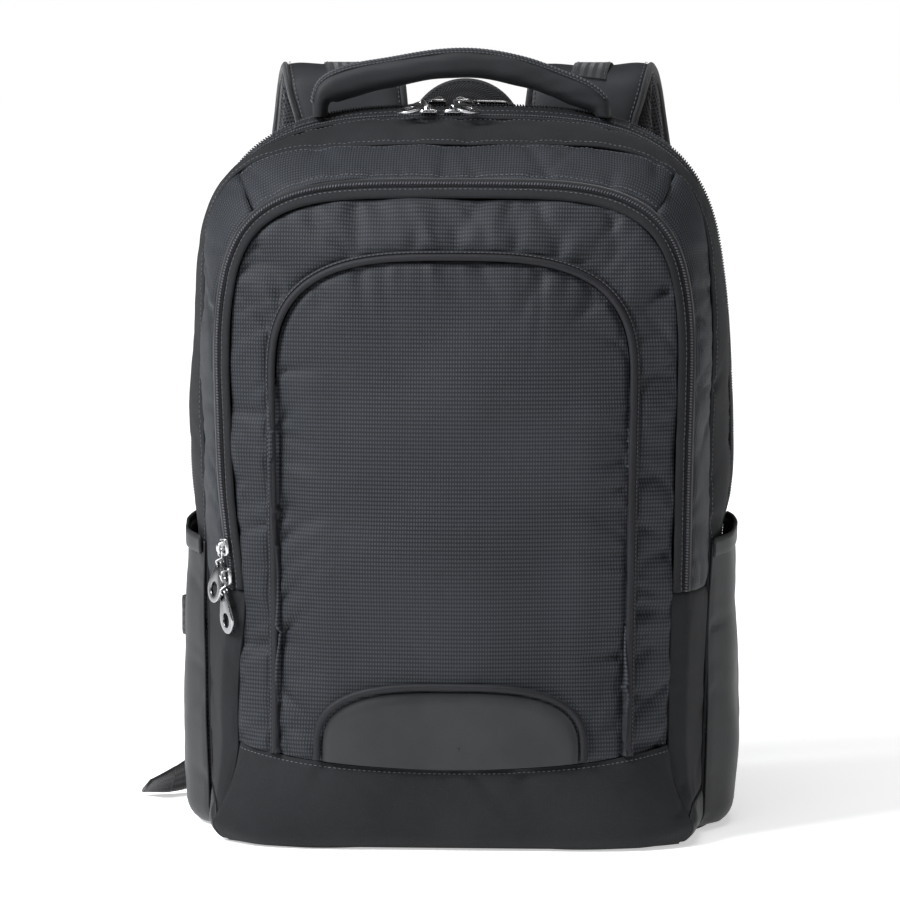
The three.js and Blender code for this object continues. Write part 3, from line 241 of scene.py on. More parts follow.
def crossing_threads(finish, pitch_mm):
    """The relief of plain weave: two sets of round threads, over and under each other."""
    scale = math.pi * 1000 / pitch_mm
    split = finish.add("ShaderNodeSeparateXYZ")
    finish.link(finish.scaled(scale, scale, scale), split.inputs[0])
    warp = finish.math("ABSOLUTE", finish.math("SINE", split.outputs[0]))
    weft = finish.math("ABSOLUTE", finish.math("SINE", split.outputs[1]))
    return finish.math("MULTIPLY", warp, weft)


print("finish helpers ready")

# %% [markdown]
# ### Dobby cloth
# The pocket, the front and the straps are a fine nylon with rows of small dots, 1.65 mm apart in a row and
# 2.4 mm from row to row. Real dots are little floats of thread that catch the light. A grid of cells with no
# randomness gives them: the distance to each cell's middle makes the float's dome. The dots are also painted
# lighter than the ground between them, as a painted highlight.

# %% Dobby cloth
DOT_ALONG, DOT_ROWS = 1.65, 2.4


def dobby_cloth():
    f = Finish("dobby_nylon", 0.55, sheen=0.02)
    cells = f.cells(f.scaled(1000 / DOT_ALONG, 1000 / DOT_ROWS, 0), randomness=0.0)
    dot = f.spread(cells, 0.20, 0.42, 1.0, 0.0)
    threads = crossing_threads(f, 0.42)
    blotch = f.noise(f.place("Object"), 14, 4)
    base = f.blend(f.spread(blotch, 0.3, 0.7), "15161a", "1d1f23")
    # painted highlight: the dots are painted lighter than the cloth between them
    dots_with_painted_highlight = f.blend(f.math("MULTIPLY", dot, 0.6), base, "43464c")
    colour = f.blend(f.math("MULTIPLY", threads, 0.25), dots_with_painted_highlight, "101112")
    f.bump(f.noise(f.scaled(60, 420, 1), 1.0, 2), 0.35, 0.5)
    f.bump(dot, 0.22, 0.8)
    f.bump(threads, 0.06, 0.6)
    rough = f.spread(blotch, 0.2, 0.8, 0.5, 0.62)
    return f.done(colour, rough)


DOBBY = dobby_cloth()
print(DOBBY.name, len(DOBBY.node_tree.nodes), "nodes")

# %% [markdown]
# ### Oxford cloth
# The plain gussets and the foot of the bag are a coarser, duller cloth with visible square weave. It is crossing
# threads again, at 0.9 mm, with a little speckle where threads are thicker, and the gaps between the threads are
# painted darker, as painted shade.

# %% Oxford cloth


def oxford_cloth(name, dark, light, pitch=0.9, depth=0.16, roughness=0.78, sheen=0.15):
    f = Finish(name, roughness, sheen=sheen)
    threads = crossing_threads(f, pitch)
    speckle = f.noise(f.scaled(900, 900, 1), 1.0, 2)
    blotch = f.noise(f.place("Object"), 18, 3)
    base = f.blend(f.spread(blotch, 0.3, 0.7), dark, light)
    worn = f.blend(f.math("MULTIPLY", f.spread(speckle, 0.52, 0.75), 0.35), base, "333437")
    # painted shade: the gaps between the threads are painted darker
    colour = f.blend(f.math("MULTIPLY", f.spread(threads, 0.0, 0.35, 1.0, 0.0), 0.55), worn, "0c0c0d")
    f.bump(threads, depth, 0.8)
    f.bump(speckle, 0.08, 0.4)
    return f.done(colour)


OXFORD = oxford_cloth("oxford_cloth", "191a1c", "202123", sheen=0.02)
PIPING = oxford_cloth("piping_cloth", "18181b", "1f1f23", pitch=0.5, depth=0.07, roughness=0.5, sheen=0.03)
OXFORD_FINE = oxford_cloth("smooth_cloth", "1d1e20", "252629", pitch=0.45, depth=0.05, roughness=0.55, sheen=0.03)
TAPE = oxford_cloth("zip_tape", "151517", "1c1c1f", pitch=0.6, depth=0.08)
print("plain cloths:", OXFORD.name, PIPING.name, TAPE.name)

# %% [markdown]
# ### Leather-look cloth
# The side pockets, the corners and the patch are coated cloth: smooth, with a fine pebble and a broad soft shine.
# Small cells of random size make the pebble, and a slower noise changes how shiny it is.

# %% Leather-look cloth


def coated_cloth():
    f = Finish("coated_cloth", 0.44, coat=0.06)
    place = f.place("Object")
    pebble = f.spread(f.cells(place, 900, feature="SMOOTH_F1"), 0.1, 0.75)
    cloud = f.noise(place, 22, 4)
    colour = f.blend(f.spread(cloud, 0.3, 0.7), "242526", "2c2d2e")
    f.bump(f.noise(place, 60, 2), 0.5, 0.25)
    f.bump(pebble, 0.09, 0.55)
    return f.done(colour, f.spread(cloud, 0.25, 0.75, 0.48, 0.6))


COATED = coated_cloth()
print(COATED.name)

# %% [markdown]
# ### Webbing, spacer mesh and thread
# Webbing is heavy ribs across a narrow band, with a herringbone step in the middle of each rib, and its rib tops
# are painted lighter and its grooves darker, as painted highlight and painted shade. Spacer mesh is a net of small
# holes over foam. The holes are too small to model one by one at this distance, so a tight grid of cells makes them
# in the finish, and they are painted near black, as painted shade inside them. Sewing thread is a bonded nylon
# with a soft shine.

# %% Webbing, mesh and thread
HOLE_ALONG, HOLE_ROWS = 2.6, 2.1


def ribbed_webbing(name="ribbed_webbing", rib=1.7, dark="0d0d0f", light="222225"):
    f = Finish(name, 0.62, sheen=0.3)
    split = f.add("ShaderNodeSeparateXYZ")
    f.link(f.scaled(1000, 1000, 1), split.inputs[0])
    across = f.math("PINGPONG", split.outputs[1], 2.6)
    waves = f.math("MULTIPLY", f.math("ADD", split.outputs[0], across), math.pi / rib)
    ribs = f.math("ABSOLUTE", f.math("SINE", waves))
    fibre = f.noise(f.scaled(2500, 400, 1), 1.0, 2)
    # painted highlight and shade: rib tops painted lighter, the grooves between ribs darker
    colour = f.blend(ribs, dark, light)
    f.bump(ribs, 0.3, 0.9)
    f.bump(fibre, 0.05, 0.5)
    return f.done(colour)


def spacer_mesh():
    f = Finish("spacer_mesh", 0.9, sheen=0.2)
    cells = f.cells(f.scaled(1000 / HOLE_ALONG, 1000 / HOLE_ROWS, 0), randomness=0.12)
    hole = f.spread(cells, 0.2, 0.4, 1.0, 0.0)
    # painted shade: the holes are painted near black
    colour = f.blend(hole, "2b2b2e", "060607")
    f.bump(hole, -0.7, 0.9)
    f.bump(crossing_threads(f, 0.5), 0.08, 0.6)
    return f.done(colour)


def plain_finish(name, dark, light, roughness, metallic=0.0, scale=300, depth=0.03):
    f = Finish(name, roughness, metallic)
    grain = f.noise(f.place("Object"), scale, 4)
    colour = f.blend(f.spread(grain, 0.35, 0.65), dark, light)
    f.bump(grain, depth, 0.5)
    return f.done(colour, f.spread(grain, 0.3, 0.7, roughness * 0.85, roughness * 1.2))


WEBBING = ribbed_webbing()
STRAP_TAPE = ribbed_webbing("strap_tape_cloth", 1.3, "0f0f11", "1d1d20")
MESH = spacer_mesh()
THREAD = plain_finish("thread", "46474b", "626469", 0.5, scale=2500, depth=0.02)
DARK_THREAD = plain_finish("dark_thread", "1c1c1f", "2c2c30", 0.5, scale=2500, depth=0.02)
COIL = plain_finish("nylon_coil", "3a3a3e", "5c5c62", 0.38, scale=1500)
PLASTIC = plain_finish("moulded_plastic", "141417", "1e1e21", 0.42, scale=900)
print("small finishes:", len(bpy.data.materials))

# %% [markdown]
# ### Dark nickel
# Pulls, links and sliders are cast metal in a dark nickel finish, with a painted highlight on their edges. The edges
# are found with a pointiness reading, which is high on convex corners, and there the colour turns pale and smooth.

# %% Dark nickel


def dark_nickel():
    f = Finish("dark_nickel", 0.26, metallic=1.0)
    edge = f.spread(f.add("ShaderNodeNewGeometry").outputs["Pointiness"], 0.5, 0.58)
    rub = f.noise(f.place("Object"), 800, 4)
    body = f.blend(f.spread(rub, 0.35, 0.65), "4c4c4e", "5e5e60")
    # painted highlight: convex edges painted pale, almost white
    colour = f.blend(edge, body, "d9d9da")
    f.bump(rub, 0.03, 0.4)
    return f.done(colour, f.spread(rub, 0.3, 0.7, 0.2, 0.32))


NICKEL = dark_nickel()
print(NICKEL.name)

# %% [markdown]
# ### Pale floor
# The floor is nearly white. It glows half as strongly as the surroundings under the bag, and as strongly as they
# do from 2.4 metres on, so the two meet without a line.

# %% Pale floor
GLOW_FROM, GLOW_TO, GLOW_NEAR, GLOW_AWAY = 0.5, 2.4, 0.5, 1.0


def pale_floor():
    f = Finish("pale_floor", 0.9)
    pale = f.noise(f.place("Object"), 3, 2)
    f.shader.inputs["Emission Color"].default_value = (1, 1, 1, 1)
    away = f.add("ShaderNodeVectorMath", operation="LENGTH")
    f.link(f.place("Object"), away.inputs[0])
    glow = f.spread(away.outputs["Value"], GLOW_FROM, GLOW_TO, GLOW_NEAR, GLOW_AWAY)
    f.link(glow, f.shader.inputs["Emission Strength"])
    return f.done(f.blend(pale, [0.94] * 3 + [1], [0.97] * 3 + [1]))


floor.data.materials.append(pale_floor())
print("finishes:", len(bpy.data.materials))

# %% [markdown]
# ## The rule behind the bag
# The body is a row of arches, one for each seam from the back to the front: straight legs with a rounded top,
# a superellipse. Every gusset and zip is the band between two of them. The same numbers made the frame, so what
# is built here lies on its solids. Arrays of points go through each function at once, which keeps it fast.

# %% Arches
HALF, HEIGHT, DEPTH, REAR, FOOT = 163.0, 440.0, 174.0, 84.0, 14.0
WEDGE_TOP, BOOT_SEAM, BOOT_RISE = 153.0, 50.0, 12.0
SIDES = (("left", -1), ("right", 1))
# the foot's front corners: where they begin, over what length they grow, how far in and how high they are cut
CORNER_X, CORNER_Y, CORNER_GROWS, CORNER_IN, CORNER_HIGH = 112, 30, (34, 40), 15, 16
RING_COLUMNS = ("width", "height", "spring", "square", "depth", "foot_depth", "flare")
RINGS = {
    "back_seam": (0.92, 0.973, 0.682, 3.4, 0, 0, 0),
    "rear_edge": (0.975, 0.993, 0.682, 3.3, 0.05, 0.05, 0),
    "laptop_rear": (1, 1, 0.682, 3.25, 0.11, 0.11, 0),
    "laptop_front": (1, 0.9985, 0.682, 3.25, 0.152, 0.152, 0),
    "main_rear": (1, 0.991, 0.682, 3.3, 0.247, 0.247, 0),
    "main_front": (0.998, 0.985, 0.682, 3.35, 0.29, 0.29, 0),
    "gusset_mid": (0.99, 0.973, 0.682, 3.8, 0.43, 0.44, 0),
    "pocket_seam": (0.957, 0.9545, 0.682, 4.6, 0.557, 0.58, 0),
    "pocket_rear": (0.893, 0.911, 0.614, 4.05, 0.736, 0.79, 0.08),
    "pocket_front": (0.862, 0.899, 0.614, 4.2, 0.759, 0.815, 0.12),
    "facing": (0.828, 0.884, 0.614, 4.4, 0.782, 0.84, 0.164),
    "piping": (0.669, 0.807, 0.625, 3.1, 1, 1, 0),
}
RINGS = {name: dict(zip(RING_COLUMNS, row)) for name, row in RINGS.items()}
GIRTH_UP = (0, 0.1, 0.25, 0.41, 0.46, 0.53, 0.68, 0.8, 1)
GIRTH_REAR = (0.965, 0.975, 0.98, 0.987, 1.016, 1.026, 1.01, 0.988, 0.985)
GIRTH_FRONT = (0.965, 0.969, 0.976, 0.985, 0.987, 0.991, 1, 0.992, 0.99)
FRONT_FROM, FRONT_OVER, SLACK_IN, SLACK_HIGH = 0.3, 0.25, 6, 45


def read(inputs, outputs, value):
    """Reads smoothly between the rows of a table. Outputs may be numbers or whole arrays."""
    xs, ys = np.asarray(inputs, float), np.asarray(outputs, float)
    value = np.clip(np.asarray(value, float), xs[0], xs[-1])
    before, after = np.arange(len(xs)) - 1, np.arange(len(xs)) + 1
    before[0], after[-1] = 0, len(xs) - 1
    extra = (1,) * (ys.ndim - 1)
    slope = (ys[after] - ys[before]) / (xs[after] - xs[before]).reshape((-1,) + extra)
    i = np.clip(np.searchsorted(xs, value, side="right") - 1, 0, len(xs) - 2)
    span = np.reshape(xs[i + 1] - xs[i], value.shape + extra)
    t = np.reshape(value - xs[i], value.shape + extra) / span
    square, cube = t**2, t**3
    start, end = (2 * cube - 3 * square + 1) * ys[i], (3 * square - 2 * cube) * ys[i + 1]
    return start + end + (cube - 2 * square + t) * span * slope[i] + (cube - square) * span * slope[i + 1]


def mix(a, b, t):
    """A share t of the way from a to b."""
    return a + (b - a) * t


def smooth(t):
    """Rises from 0 to 1 as t does, level at both ends."""
    t = np.clip(t, 0, 1)
    return t * t * (3 - 2 * t)


def girth(ring, z):
    """How full the wall is at a height: walls near the front follow their own column."""
    front = smooth((ring["depth"] - FRONT_FROM) / FRONT_OVER)
    return mix(read(GIRTH_UP, GIRTH_REAR, z / HEIGHT), read(GIRTH_UP, GIRTH_FRONT, z / HEIGHT), front)


def zip_slack(ring, z, side):
    """How far the open left end of the front zip falls in."""
    sag = SLACK_IN * np.exp(-(((z - WEDGE_TOP) / SLACK_HIGH) ** 2))
    return np.where((np.asarray(side) < 0) & (ring["flare"] > 0), sag, 0)


def half_width(ring, z, side):
    """How far an arch's outline is from the middle at a height."""
    over = np.clip((z - ring["spring"] * HEIGHT) / ((ring["height"] - ring["spring"]) * HEIGHT), 0, 1)
    narrow = (1 - over ** ring["square"]) ** (1 / ring["square"])
    flare = ring["flare"] * HALF * np.clip(1 - z / (BOOT_SEAM + BOOT_RISE), 0, 1) ** 2
    return ring["width"] * HALF * narrow * girth(ring, z) + flare - zip_slack(ring, z, side)


def ring_y(ring, z):
    """Where an arch stands from back to front. The front ones lean."""
    return REAR - DEPTH * mix(ring["foot_depth"], ring["depth"], z / HEIGHT)


def stack(x, y, z):
    """Points from arrays of x, y and z, or from single numbers."""
    return np.stack(np.broadcast_arrays(x, y, z), axis=-1).astype(float)


def unit(v):
    return v / np.maximum(np.linalg.norm(v, axis=-1, keepdims=True), 1e-9)


def outward(p):
    """The way out of the bag at any point, as if it were one rounded box."""
    half = np.array([HALF, DEPTH / 2, HEIGHT / 2])
    share = (p - np.array([0, REAR - DEPTH / 2, HEIGHT / 2])) / half
    return unit(np.sign(share) * np.abs(share) ** 3 / half)


def tuck(p):
    """Rounds a wall in under the bag near the floor."""
    below = np.clip(FOOT - p[..., 2], 0, FOOT)
    shift = FOOT - np.sqrt(FOOT**2 - below**2)
    way = outward(p)
    way[..., 2] = 0
    way[..., 1] = np.minimum(0, way[..., 1])
    p = p - unit(way) * shift[..., None]
    beside = np.clip((np.abs(p[..., 0]) - CORNER_X) / CORNER_GROWS[0], 0, 1)
    corner = beside * np.clip((-p[..., 1] - CORNER_Y) / CORNER_GROWS[1], 0, 1)
    p[..., 0] -= np.sign(p[..., 0]) * CORNER_IN * corner * np.clip(1 - p[..., 2] / CORNER_HIGH, 0, 1) ** 1.5
    return p


def side_line(ring, low, legs, over, side, from_turn=0.0, to_turn=90.0):
    """Half an arch, from its foot or from an angle, to its top or to an angle: x and z."""
    spring, rise = ring["spring"] * HEIGHT, (ring["height"] - ring["spring"]) * HEIGHT
    turn = np.radians(np.linspace(from_turn, to_turn, over))
    c, s = np.cos(turn).clip(0), np.sin(turn)
    k = (c ** ring["square"] + s ** ring["square"]) ** (-1 / ring["square"])
    z_top = spring + rise * k * s
    x_top = ring["width"] * HALF * k * c * girth(ring, z_top) - zip_slack(ring, z_top, side)
    z_leg = np.linspace(low, spring, legs, endpoint=False)
    x = np.concatenate([half_width(ring, z_leg, side), x_top])
    return side * x, np.concatenate([z_leg, z_top])


def arch_line(ring, low=0.0, legs=100, over=80, from_turn=0.0):
    """A whole arch from its left foot to its right one: x and z."""
    left = side_line(ring, low, legs, over, -1, from_turn)
    right = side_line(ring, low, legs, over, 1, from_turn)
    return [np.concatenate([a, b[::-1][1:]]) for a, b in zip(left, right)]


def on_ring(ring, x, z):
    """Points in an arch's own plane, tucked in at the floor."""
    return tuck(stack(x, ring_y(ring, z), z))


def distances(line):
    """How far along a line each of its points lies."""
    return np.concatenate([[0], np.cumsum(np.linalg.norm(np.diff(line, axis=0), axis=1))])


def resample(table, at, places):
    """Reads the columns of a table, whose rows stand at given distances, at other places."""
    return np.stack([np.interp(places, at, column) for column in table.T], axis=-1)


facing = RINGS["facing"]
print("top of the body:", round(float(arch_line(RINGS["laptop_rear"])[1].max()), 1), "mm")

# %% [markdown]
# ## From a grid of points to sewn cloth
# A cut piece is a grid of points. What makes it look sewn is what happens at its edges: the cloth rolls in
# towards the seam, and the thread gathers it into short puckers that die out a couple of centimetres in.
# Each point looks up its nearest place on each seam, and that distance drives both. A slow noise adds the dents
# of a soft wall, and the Solidify modifier gives the cloth its thickness.

# %% Sewn edges
NEAR_SEAM, NARROW, NARROW_STEP = (0, 0.8, 1.8, 3.2, 5.2), 14, 1.6
# spread of the slant, least and most width, mean depth and its spread, least and most length, and how far from
# the seam a pucker has its full depth
PUCKER_SLANT, PUCKER_WIDE, PUCKER_DEEP, PUCKER_DIES, PUCKER_FROM = 0.45, (1.8, 4.2), (-0.55, 0.55), (0.4, 1.4), 4.5


def seam_steps(length, step=3.0):
    """Shares from 0 to 1 with finer steps beside both seams. A narrow piece has even ones."""
    if length <= NARROW:
        return np.linspace(0, 1, max(5, int(length / NARROW_STEP) + 1))
    edge = NEAR_SEAM[-1]
    middle = np.linspace(edge, length - edge, max(2, int((length - 2 * edge) / step) + 1))[1:-1]
    return np.concatenate([NEAR_SEAM, middle, [length - n for n in reversed(NEAR_SEAM)]]) / length


def through_lines(lines):
    """A grid through lines that lie side by side, with finer steps beside its seams."""
    lines = np.array(lines)
    knots = spacing_of(lines)
    return read(knots, lines, seam_steps(knots[-1]) * knots[-1])


def spacing_of(lines):
    """How far each line lies from the first, on average."""
    wide = np.linalg.norm(np.diff(lines, axis=0), axis=-1).mean(axis=1)
    return np.concatenate([[0], np.cumsum(wide)])


def lengths(grid, axis):
    """How far each point of a grid is from its first row or column."""
    step = np.linalg.norm(np.diff(grid, axis=axis), axis=-1)
    total = np.cumsum(step, axis=axis)
    pad = [(1, 0), (0, 0)] if axis == 0 else [(0, 0), (1, 0)]
    return np.pad(total, pad)


def grid_normals(grid):
    """The way out of the cloth at each point of a grid."""
    n = unit(np.cross(np.gradient(grid, axis=0), np.gradient(grid, axis=1)))
    if (n * outward(grid)).sum() < 0:
        n = -n
    return n


def near_line(grid, line):
    """For each point of a grid: how far it is from a line, and how far along the line that is."""
    along = distances(line)
    at = np.arange(0, along[-1], 1.0)
    fine = resample(line, along, at)
    tree = kdtree.KDTree(len(fine))
    for i, p in enumerate(fine):
        tree.insert(Vector(p), i)
    tree.balance()
    found = [tree.find(Vector(p))[1:] for p in grid.reshape(-1, 3)]
    index, far = zip(*found)
    return np.array(far).reshape(grid.shape[:2]), at[np.array(index)].reshape(grid.shape[:2])


def puckers(far, along, rng, size, reach, spacing):
    """Short creases that leave a seam, each at its own place, slant, width and length."""
    length = along.max() + 1
    push = np.zeros_like(far)
    for _ in range(int(length / spacing)):
        at = rng.uniform(0, length)
        slant, width = rng.normal(0, PUCKER_SLANT), rng.uniform(*PUCKER_WIDE)
        deep, dies = rng.normal(*PUCKER_DEEP) * size, rng.uniform(*PUCKER_DIES) * reach
        push += deep * np.exp(-(((along - at - slant * far) / (width + 0.08 * far)) ** 2)) * np.exp(-far / dies)
    return push * smooth(far / PUCKER_FROM)


def slow_noise(grid, scale, seed):
    """Soft random hills between about -1 and 1, a given size across."""
    where = (grid / scale + seed * 7.3).reshape(-1, 3)
    return np.array([noise.noise(Vector(p)) for p in where]).reshape(grid.shape[:2])


def sew(grid, seams, seed, roll=1.3, roll_reach=2.6, size=0.5, reach=12, dent=0.5, dent_scale=55, spacing=9.0):
    """A flat piece becomes a sewn one: rolled in at its seams, puckered beside them and softly dented."""
    rng = np.random.default_rng(seed)
    push = dent * slow_noise(grid, dent_scale, seed)
    for line in seams:
        far, along = near_line(grid, line)
        push -= roll * np.exp(-((far / roll_reach) ** 2))
        push += puckers(far, along, rng, size, reach, spacing)
    return grid + grid_normals(grid) * push[..., None]


print("steps across a 50 mm gusset:", len(seam_steps(50)))

# %% Meshes from grids


def make_piece(name, points, faces, finish, loop_uv=None):
    """A mesh in metres from points in millimetres, with its finish and slot."""
    mesh = bpy.data.meshes.new(name)
    mesh.from_pydata((np.asarray(points) / 1000).tolist(), [], faces)
    if loop_uv is not None:
        layer = mesh.uv_layers.new(name="UVMap")
        layer.data.foreach_set("uv", (np.asarray(loop_uv, float) / 1000).ravel())
    mesh.polygons.foreach_set("use_smooth", [True] * len(mesh.polygons))
    mesh.materials.append(finish)
    mesh.update()
    obj = bpy.data.objects.new(name, mesh)
    bpy.context.scene.collection.objects.link(obj)
    return obj


def on_body(obj, *nodes):
    """The piece belongs to the bag's one body, and stands for the frame's plain solids."""
    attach(obj, "root")
    if nodes:
        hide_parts(*nodes)
    return obj


def quad_faces(rows, cols, flip, wrap=False):
    """The quads of a grid, and the grid place of each of their corners."""
    wide = cols if wrap else cols - 1
    i, j = np.meshgrid(np.arange(rows - 1), np.arange(wide), indexing="ij")
    k = (j + 1) % cols
    corners = [i * cols + j, (i + 1) * cols + j, (i + 1) * cols + k, i * cols + k]
    places = [(i, j), (i + 1, j), (i + 1, j + 1), (i, j + 1)]
    if flip:
        corners, places = corners[::-1], places[::-1]
    faces = np.stack(corners, axis=-1).reshape(-1, 4)
    spots = np.stack([np.stack(p, axis=-1) for p in places], axis=-2).reshape(-1, 2)
    return faces.tolist(), spots


def cloth(name, grid, finish, nodes=(), wall=1.5, uv=None):
    """An open grid as cloth with a thickness, its weave laid along the piece."""
    rows, cols = grid.shape[:2]
    turned = np.cross(grid[1:, :-1] - grid[:-1, :-1], grid[:-1, 1:] - grid[:-1, :-1])
    flip = (turned * outward(grid[:-1, :-1])).sum() < 0
    faces, spots = quad_faces(rows, cols, flip)
    if uv is None:
        along = lengths(grid, 1)
        uv = np.stack([along - along[:, cols // 2][:, None], lengths(grid, 0)], axis=-1)
    obj = make_piece(name, grid.reshape(-1, 3), faces, finish, uv[spots[:, 0], spots[:, 1]])
    solid = obj.modifiers.new("wall", "SOLIDIFY")
    solid.thickness, solid.offset = wall / 1000, -1
    return on_body(obj, *nodes)


def band(names, low=0.0, legs=100, over=80, from_turn=0.0, puff=1.0, side=None, to_turn=90.0):
    """The strip of cloth between two or more arches, puffed a little between its seams."""
    lines = []
    for name in names:
        ring = RINGS[name]
        if side is None:
            x, z = arch_line(ring, low, legs, over, from_turn)
        else:
            x, z = side_line(ring, low, legs, over, side, from_turn, to_turn)
        lines.append(on_ring(ring, x, z))
    lines = np.array(lines)
    knots = spacing_of(lines)
    shares = seam_steps(knots[-1])
    if len(names) > 2:
        grid = read(knots, lines, shares * knots[-1])
    else:
        grid = mix(lines[0][None], lines[1][None], shares[:, None, None])
    swell = puff * (np.sin(math.pi * shares) ** 0.7)[:, None, None]
    return grid + grid_normals(grid) * swell


print("grid tools ready")

# %% [markdown]
# ## The two big compartments
# Behind the front pocket the bag has a laptop compartment and a main one. Each is a plain gusset that runs up
# one side, over the top and down the other, with a zip let into it. Bands between neighbouring arches make them
# all, and they share their seams.

# %% Plain gussets
laptop_gusset = band(["back_seam", "rear_edge", "laptop_rear"], puff=0.6)
laptop_gusset = sew(laptop_gusset, [laptop_gusset[0], laptop_gusset[-1]], 11, size=0.35, dent=0.6)
cloth("laptop_wall", laptop_gusset, OXFORD, ["laptop_gusset"])

top_strip = band(["laptop_front", "main_rear"], low=6, puff=0.8)
top_strip = sew(top_strip, [top_strip[0], top_strip[-1]], 12, size=0.3, dent=0.4)
cloth("strip_between_zips", top_strip, OXFORD, ["top_strip"])

main_gusset = band(["main_front", "gusset_mid", "pocket_seam"], low=6, puff=1.0)
main_gusset = sew(main_gusset, [main_gusset[0], main_gusset[-1]], 13, size=1.3, dent=2.2, dent_scale=55)
cloth("main_wall", main_gusset, OXFORD, ["main_gusset"])
print("main gusset grid:", main_gusset.shape[:2])

# %% [markdown]
# ## Front pocket walls
# The pocket's own wall is dobby cloth in three pieces: the sides stop at a slanting seam at each top corner, and
# a third piece bridges them. Lower down, plain wedges carry on, with coated corners at the floor. Inside the zip
# runs a narrow plain facing.

# %% Front pocket walls
pocket_top = band(["pocket_seam", "pocket_rear"], low=0, legs=0, over=60, from_turn=45, puff=1.4)
pocket_top = sew(pocket_top, [pocket_top[0], pocket_top[-1], pocket_top[:, 0], pocket_top[:, -1]], 21,
                 size=1.5, reach=16, dent=2.2, dent_scale=40)
cloth("pocket_wall_top", pocket_top, DOBBY, ["pocket_gusset_top"])

for label, side in SIDES:
    wall = band(["pocket_seam", "pocket_rear"], low=WEDGE_TOP, legs=55, over=40, side=side, to_turn=45, puff=1.6)
    wall = sew(wall, [wall[0], wall[-1], wall[:, 0], wall[:, -1]], 22 + side, size=1.5, reach=16, dent=2.4,
               dent_scale=45)
    cloth(f"pocket_wall_{label}", wall, DOBBY, [f"pocket_gusset_{label}"])

facing_band = band(["pocket_front", "facing"], low=WEDGE_TOP, legs=55, puff=0.5)
facing_band = sew(facing_band, [facing_band[0], facing_band[-1]], 24, roll=0.9, roll_reach=1.4, size=0.5, reach=5)
cloth("zip_facing_strip", facing_band, OXFORD, ["zip_facing"])

WEDGE_RINGS = ["pocket_seam", "pocket_rear", "pocket_front", "facing"]
CORNER = np.interp(np.arange(4), [0, 3], [28, 17])


def wedge_grid(low_of, high_of, side, rows):
    """A lower corner piece: one row of points up each ring, between two heights."""
    lines = []
    for i, name in enumerate(WEDGE_RINGS):
        z = mix(low_of[i], high_of[i], np.linspace(0, 1, rows))
        lines.append(on_ring(RINGS[name], side * half_width(RINGS[name], z, side), z))
    return through_lines(lines)


for label, side in SIDES:
    wedge = wedge_grid(CORNER, [WEDGE_TOP] * 4, side, 50)
    wedge = sew(wedge, [wedge[0], wedge[-1], wedge[:, 0], wedge[:, -1]], 31 + side, size=1.1, dent=1.6)
    cloth(f"wedge_{label}", wedge, OXFORD, [f"side_wedge_{label}"])
    corner = wedge_grid([0] * 4, CORNER, side, 18)
    corner = sew(corner, [corner[:, -1], corner[0], corner[-1]], 34 + side, roll=0.9, size=0.2, dent=0.3)
    cloth(f"foot_corner_{label}", corner, COATED, [f"pocket_corner_{label}"])
print("front pocket walls: 7 pieces")

# %% [markdown]
# ## The front
# The whole front swells outwards, most of all low down where the pocket is fullest. A height over the facing's
# arch gives that swell, and soft folds are laid into it. The cloth is cut in two: a band round the outside,
# gathered by the zip's curve, and the panel inside the fat piping.

# %% The front's surface
BULGE_UP = (0, 0.12, 0.34, 0.57, 0.72, 0.807, 0.86, 0.884)
BULGE = (0.16, 0.178, 0.183, 0.158, 0.118, 0.08, 0.034, 0)
# from x, from z, to x, to z, half width, rise: millimetres
FOLDS = [
    (-130, 290, -114, 88, 8, -2.1), (130, 308, 117, 97, 8, -2.1), (-101, 365, -81, 326, 8, -2.1),
    (101, 365, 81, 326, 8, -2.1), (-85, 273, -72, 88, 11, 1.7), (88, 264, 75, 106, 11, 1.7),
]


def fold_rise(x, z, folds):
    """How far the folds lift or sink the front at a place."""
    rise = np.zeros(np.broadcast(x, z).shape)
    for ax, az, bx, bz, reach, height in folds:
        dx, dz = bx - ax, bz - az
        t = np.clip(((x - ax) * dx + (z - az) * dz) / (dx * dx + dz * dz), 0, 1)
        rise = rise + height * np.exp(-(np.hypot(x - ax - dx * t, z - az - dz * t) / reach) ** 2)
    return rise


def front_y(x, z):
    """Where the front's surface lies: the facing's plane, its swell and the folds."""
    half = np.maximum(1, half_width(facing, z, np.sign(x)))
    full = 1 - np.minimum(1, np.abs(x) / half) ** mix(6.0, 2.2, smooth(z / 130))
    bulge = read(BULGE_UP, BULGE, z / HEIGHT) * DEPTH
    return ring_y(facing, z) - (bulge + fold_rise(x, z, FOLDS) * np.minimum(1, 4 * full)) * full


def on_front(x, z):
    """Points on the front's surface."""
    return tuck(stack(x, front_y(x, z), z))


def front_normal(x, z):
    """The way out of the front at a place."""
    slope_x = (front_y(x + 2, z) - front_y(x - 2, z)) / 4
    slope_z = (front_y(x, z + 2) - front_y(x, z - 2)) / 4
    return unit(stack(slope_x, -1, slope_z))


def boot_seam(x):
    """The height of the seam between the boot and the front above it."""
    return BOOT_SEAM + BOOT_RISE * (x / (facing["width"] * HALF)) ** 2


def front_arch(ring, legs=90, over=80):
    """An arch on the front, whose feet stand on the boot's curved seam."""
    x, z = arch_line(ring, BOOT_SEAM + BOOT_RISE, legs, over)
    x[0], x[-1] = x[1], x[-2]
    lift = boot_seam(x[0]) - z[0]
    return x, z + lift * np.clip(1 - (z - z[0]) / 60, 0, 1)


def offset_line(x, z, reach):
    """A line on the front moved sideways by a distance."""
    dx, dz = np.gradient(x), np.gradient(z)
    size = np.hypot(dx, dz)
    return x - reach * dz / size, z + reach * dx / size


print("front at its fullest:", round(float(front_y(np.array(0.0), np.array(140.0))), 1), "mm")

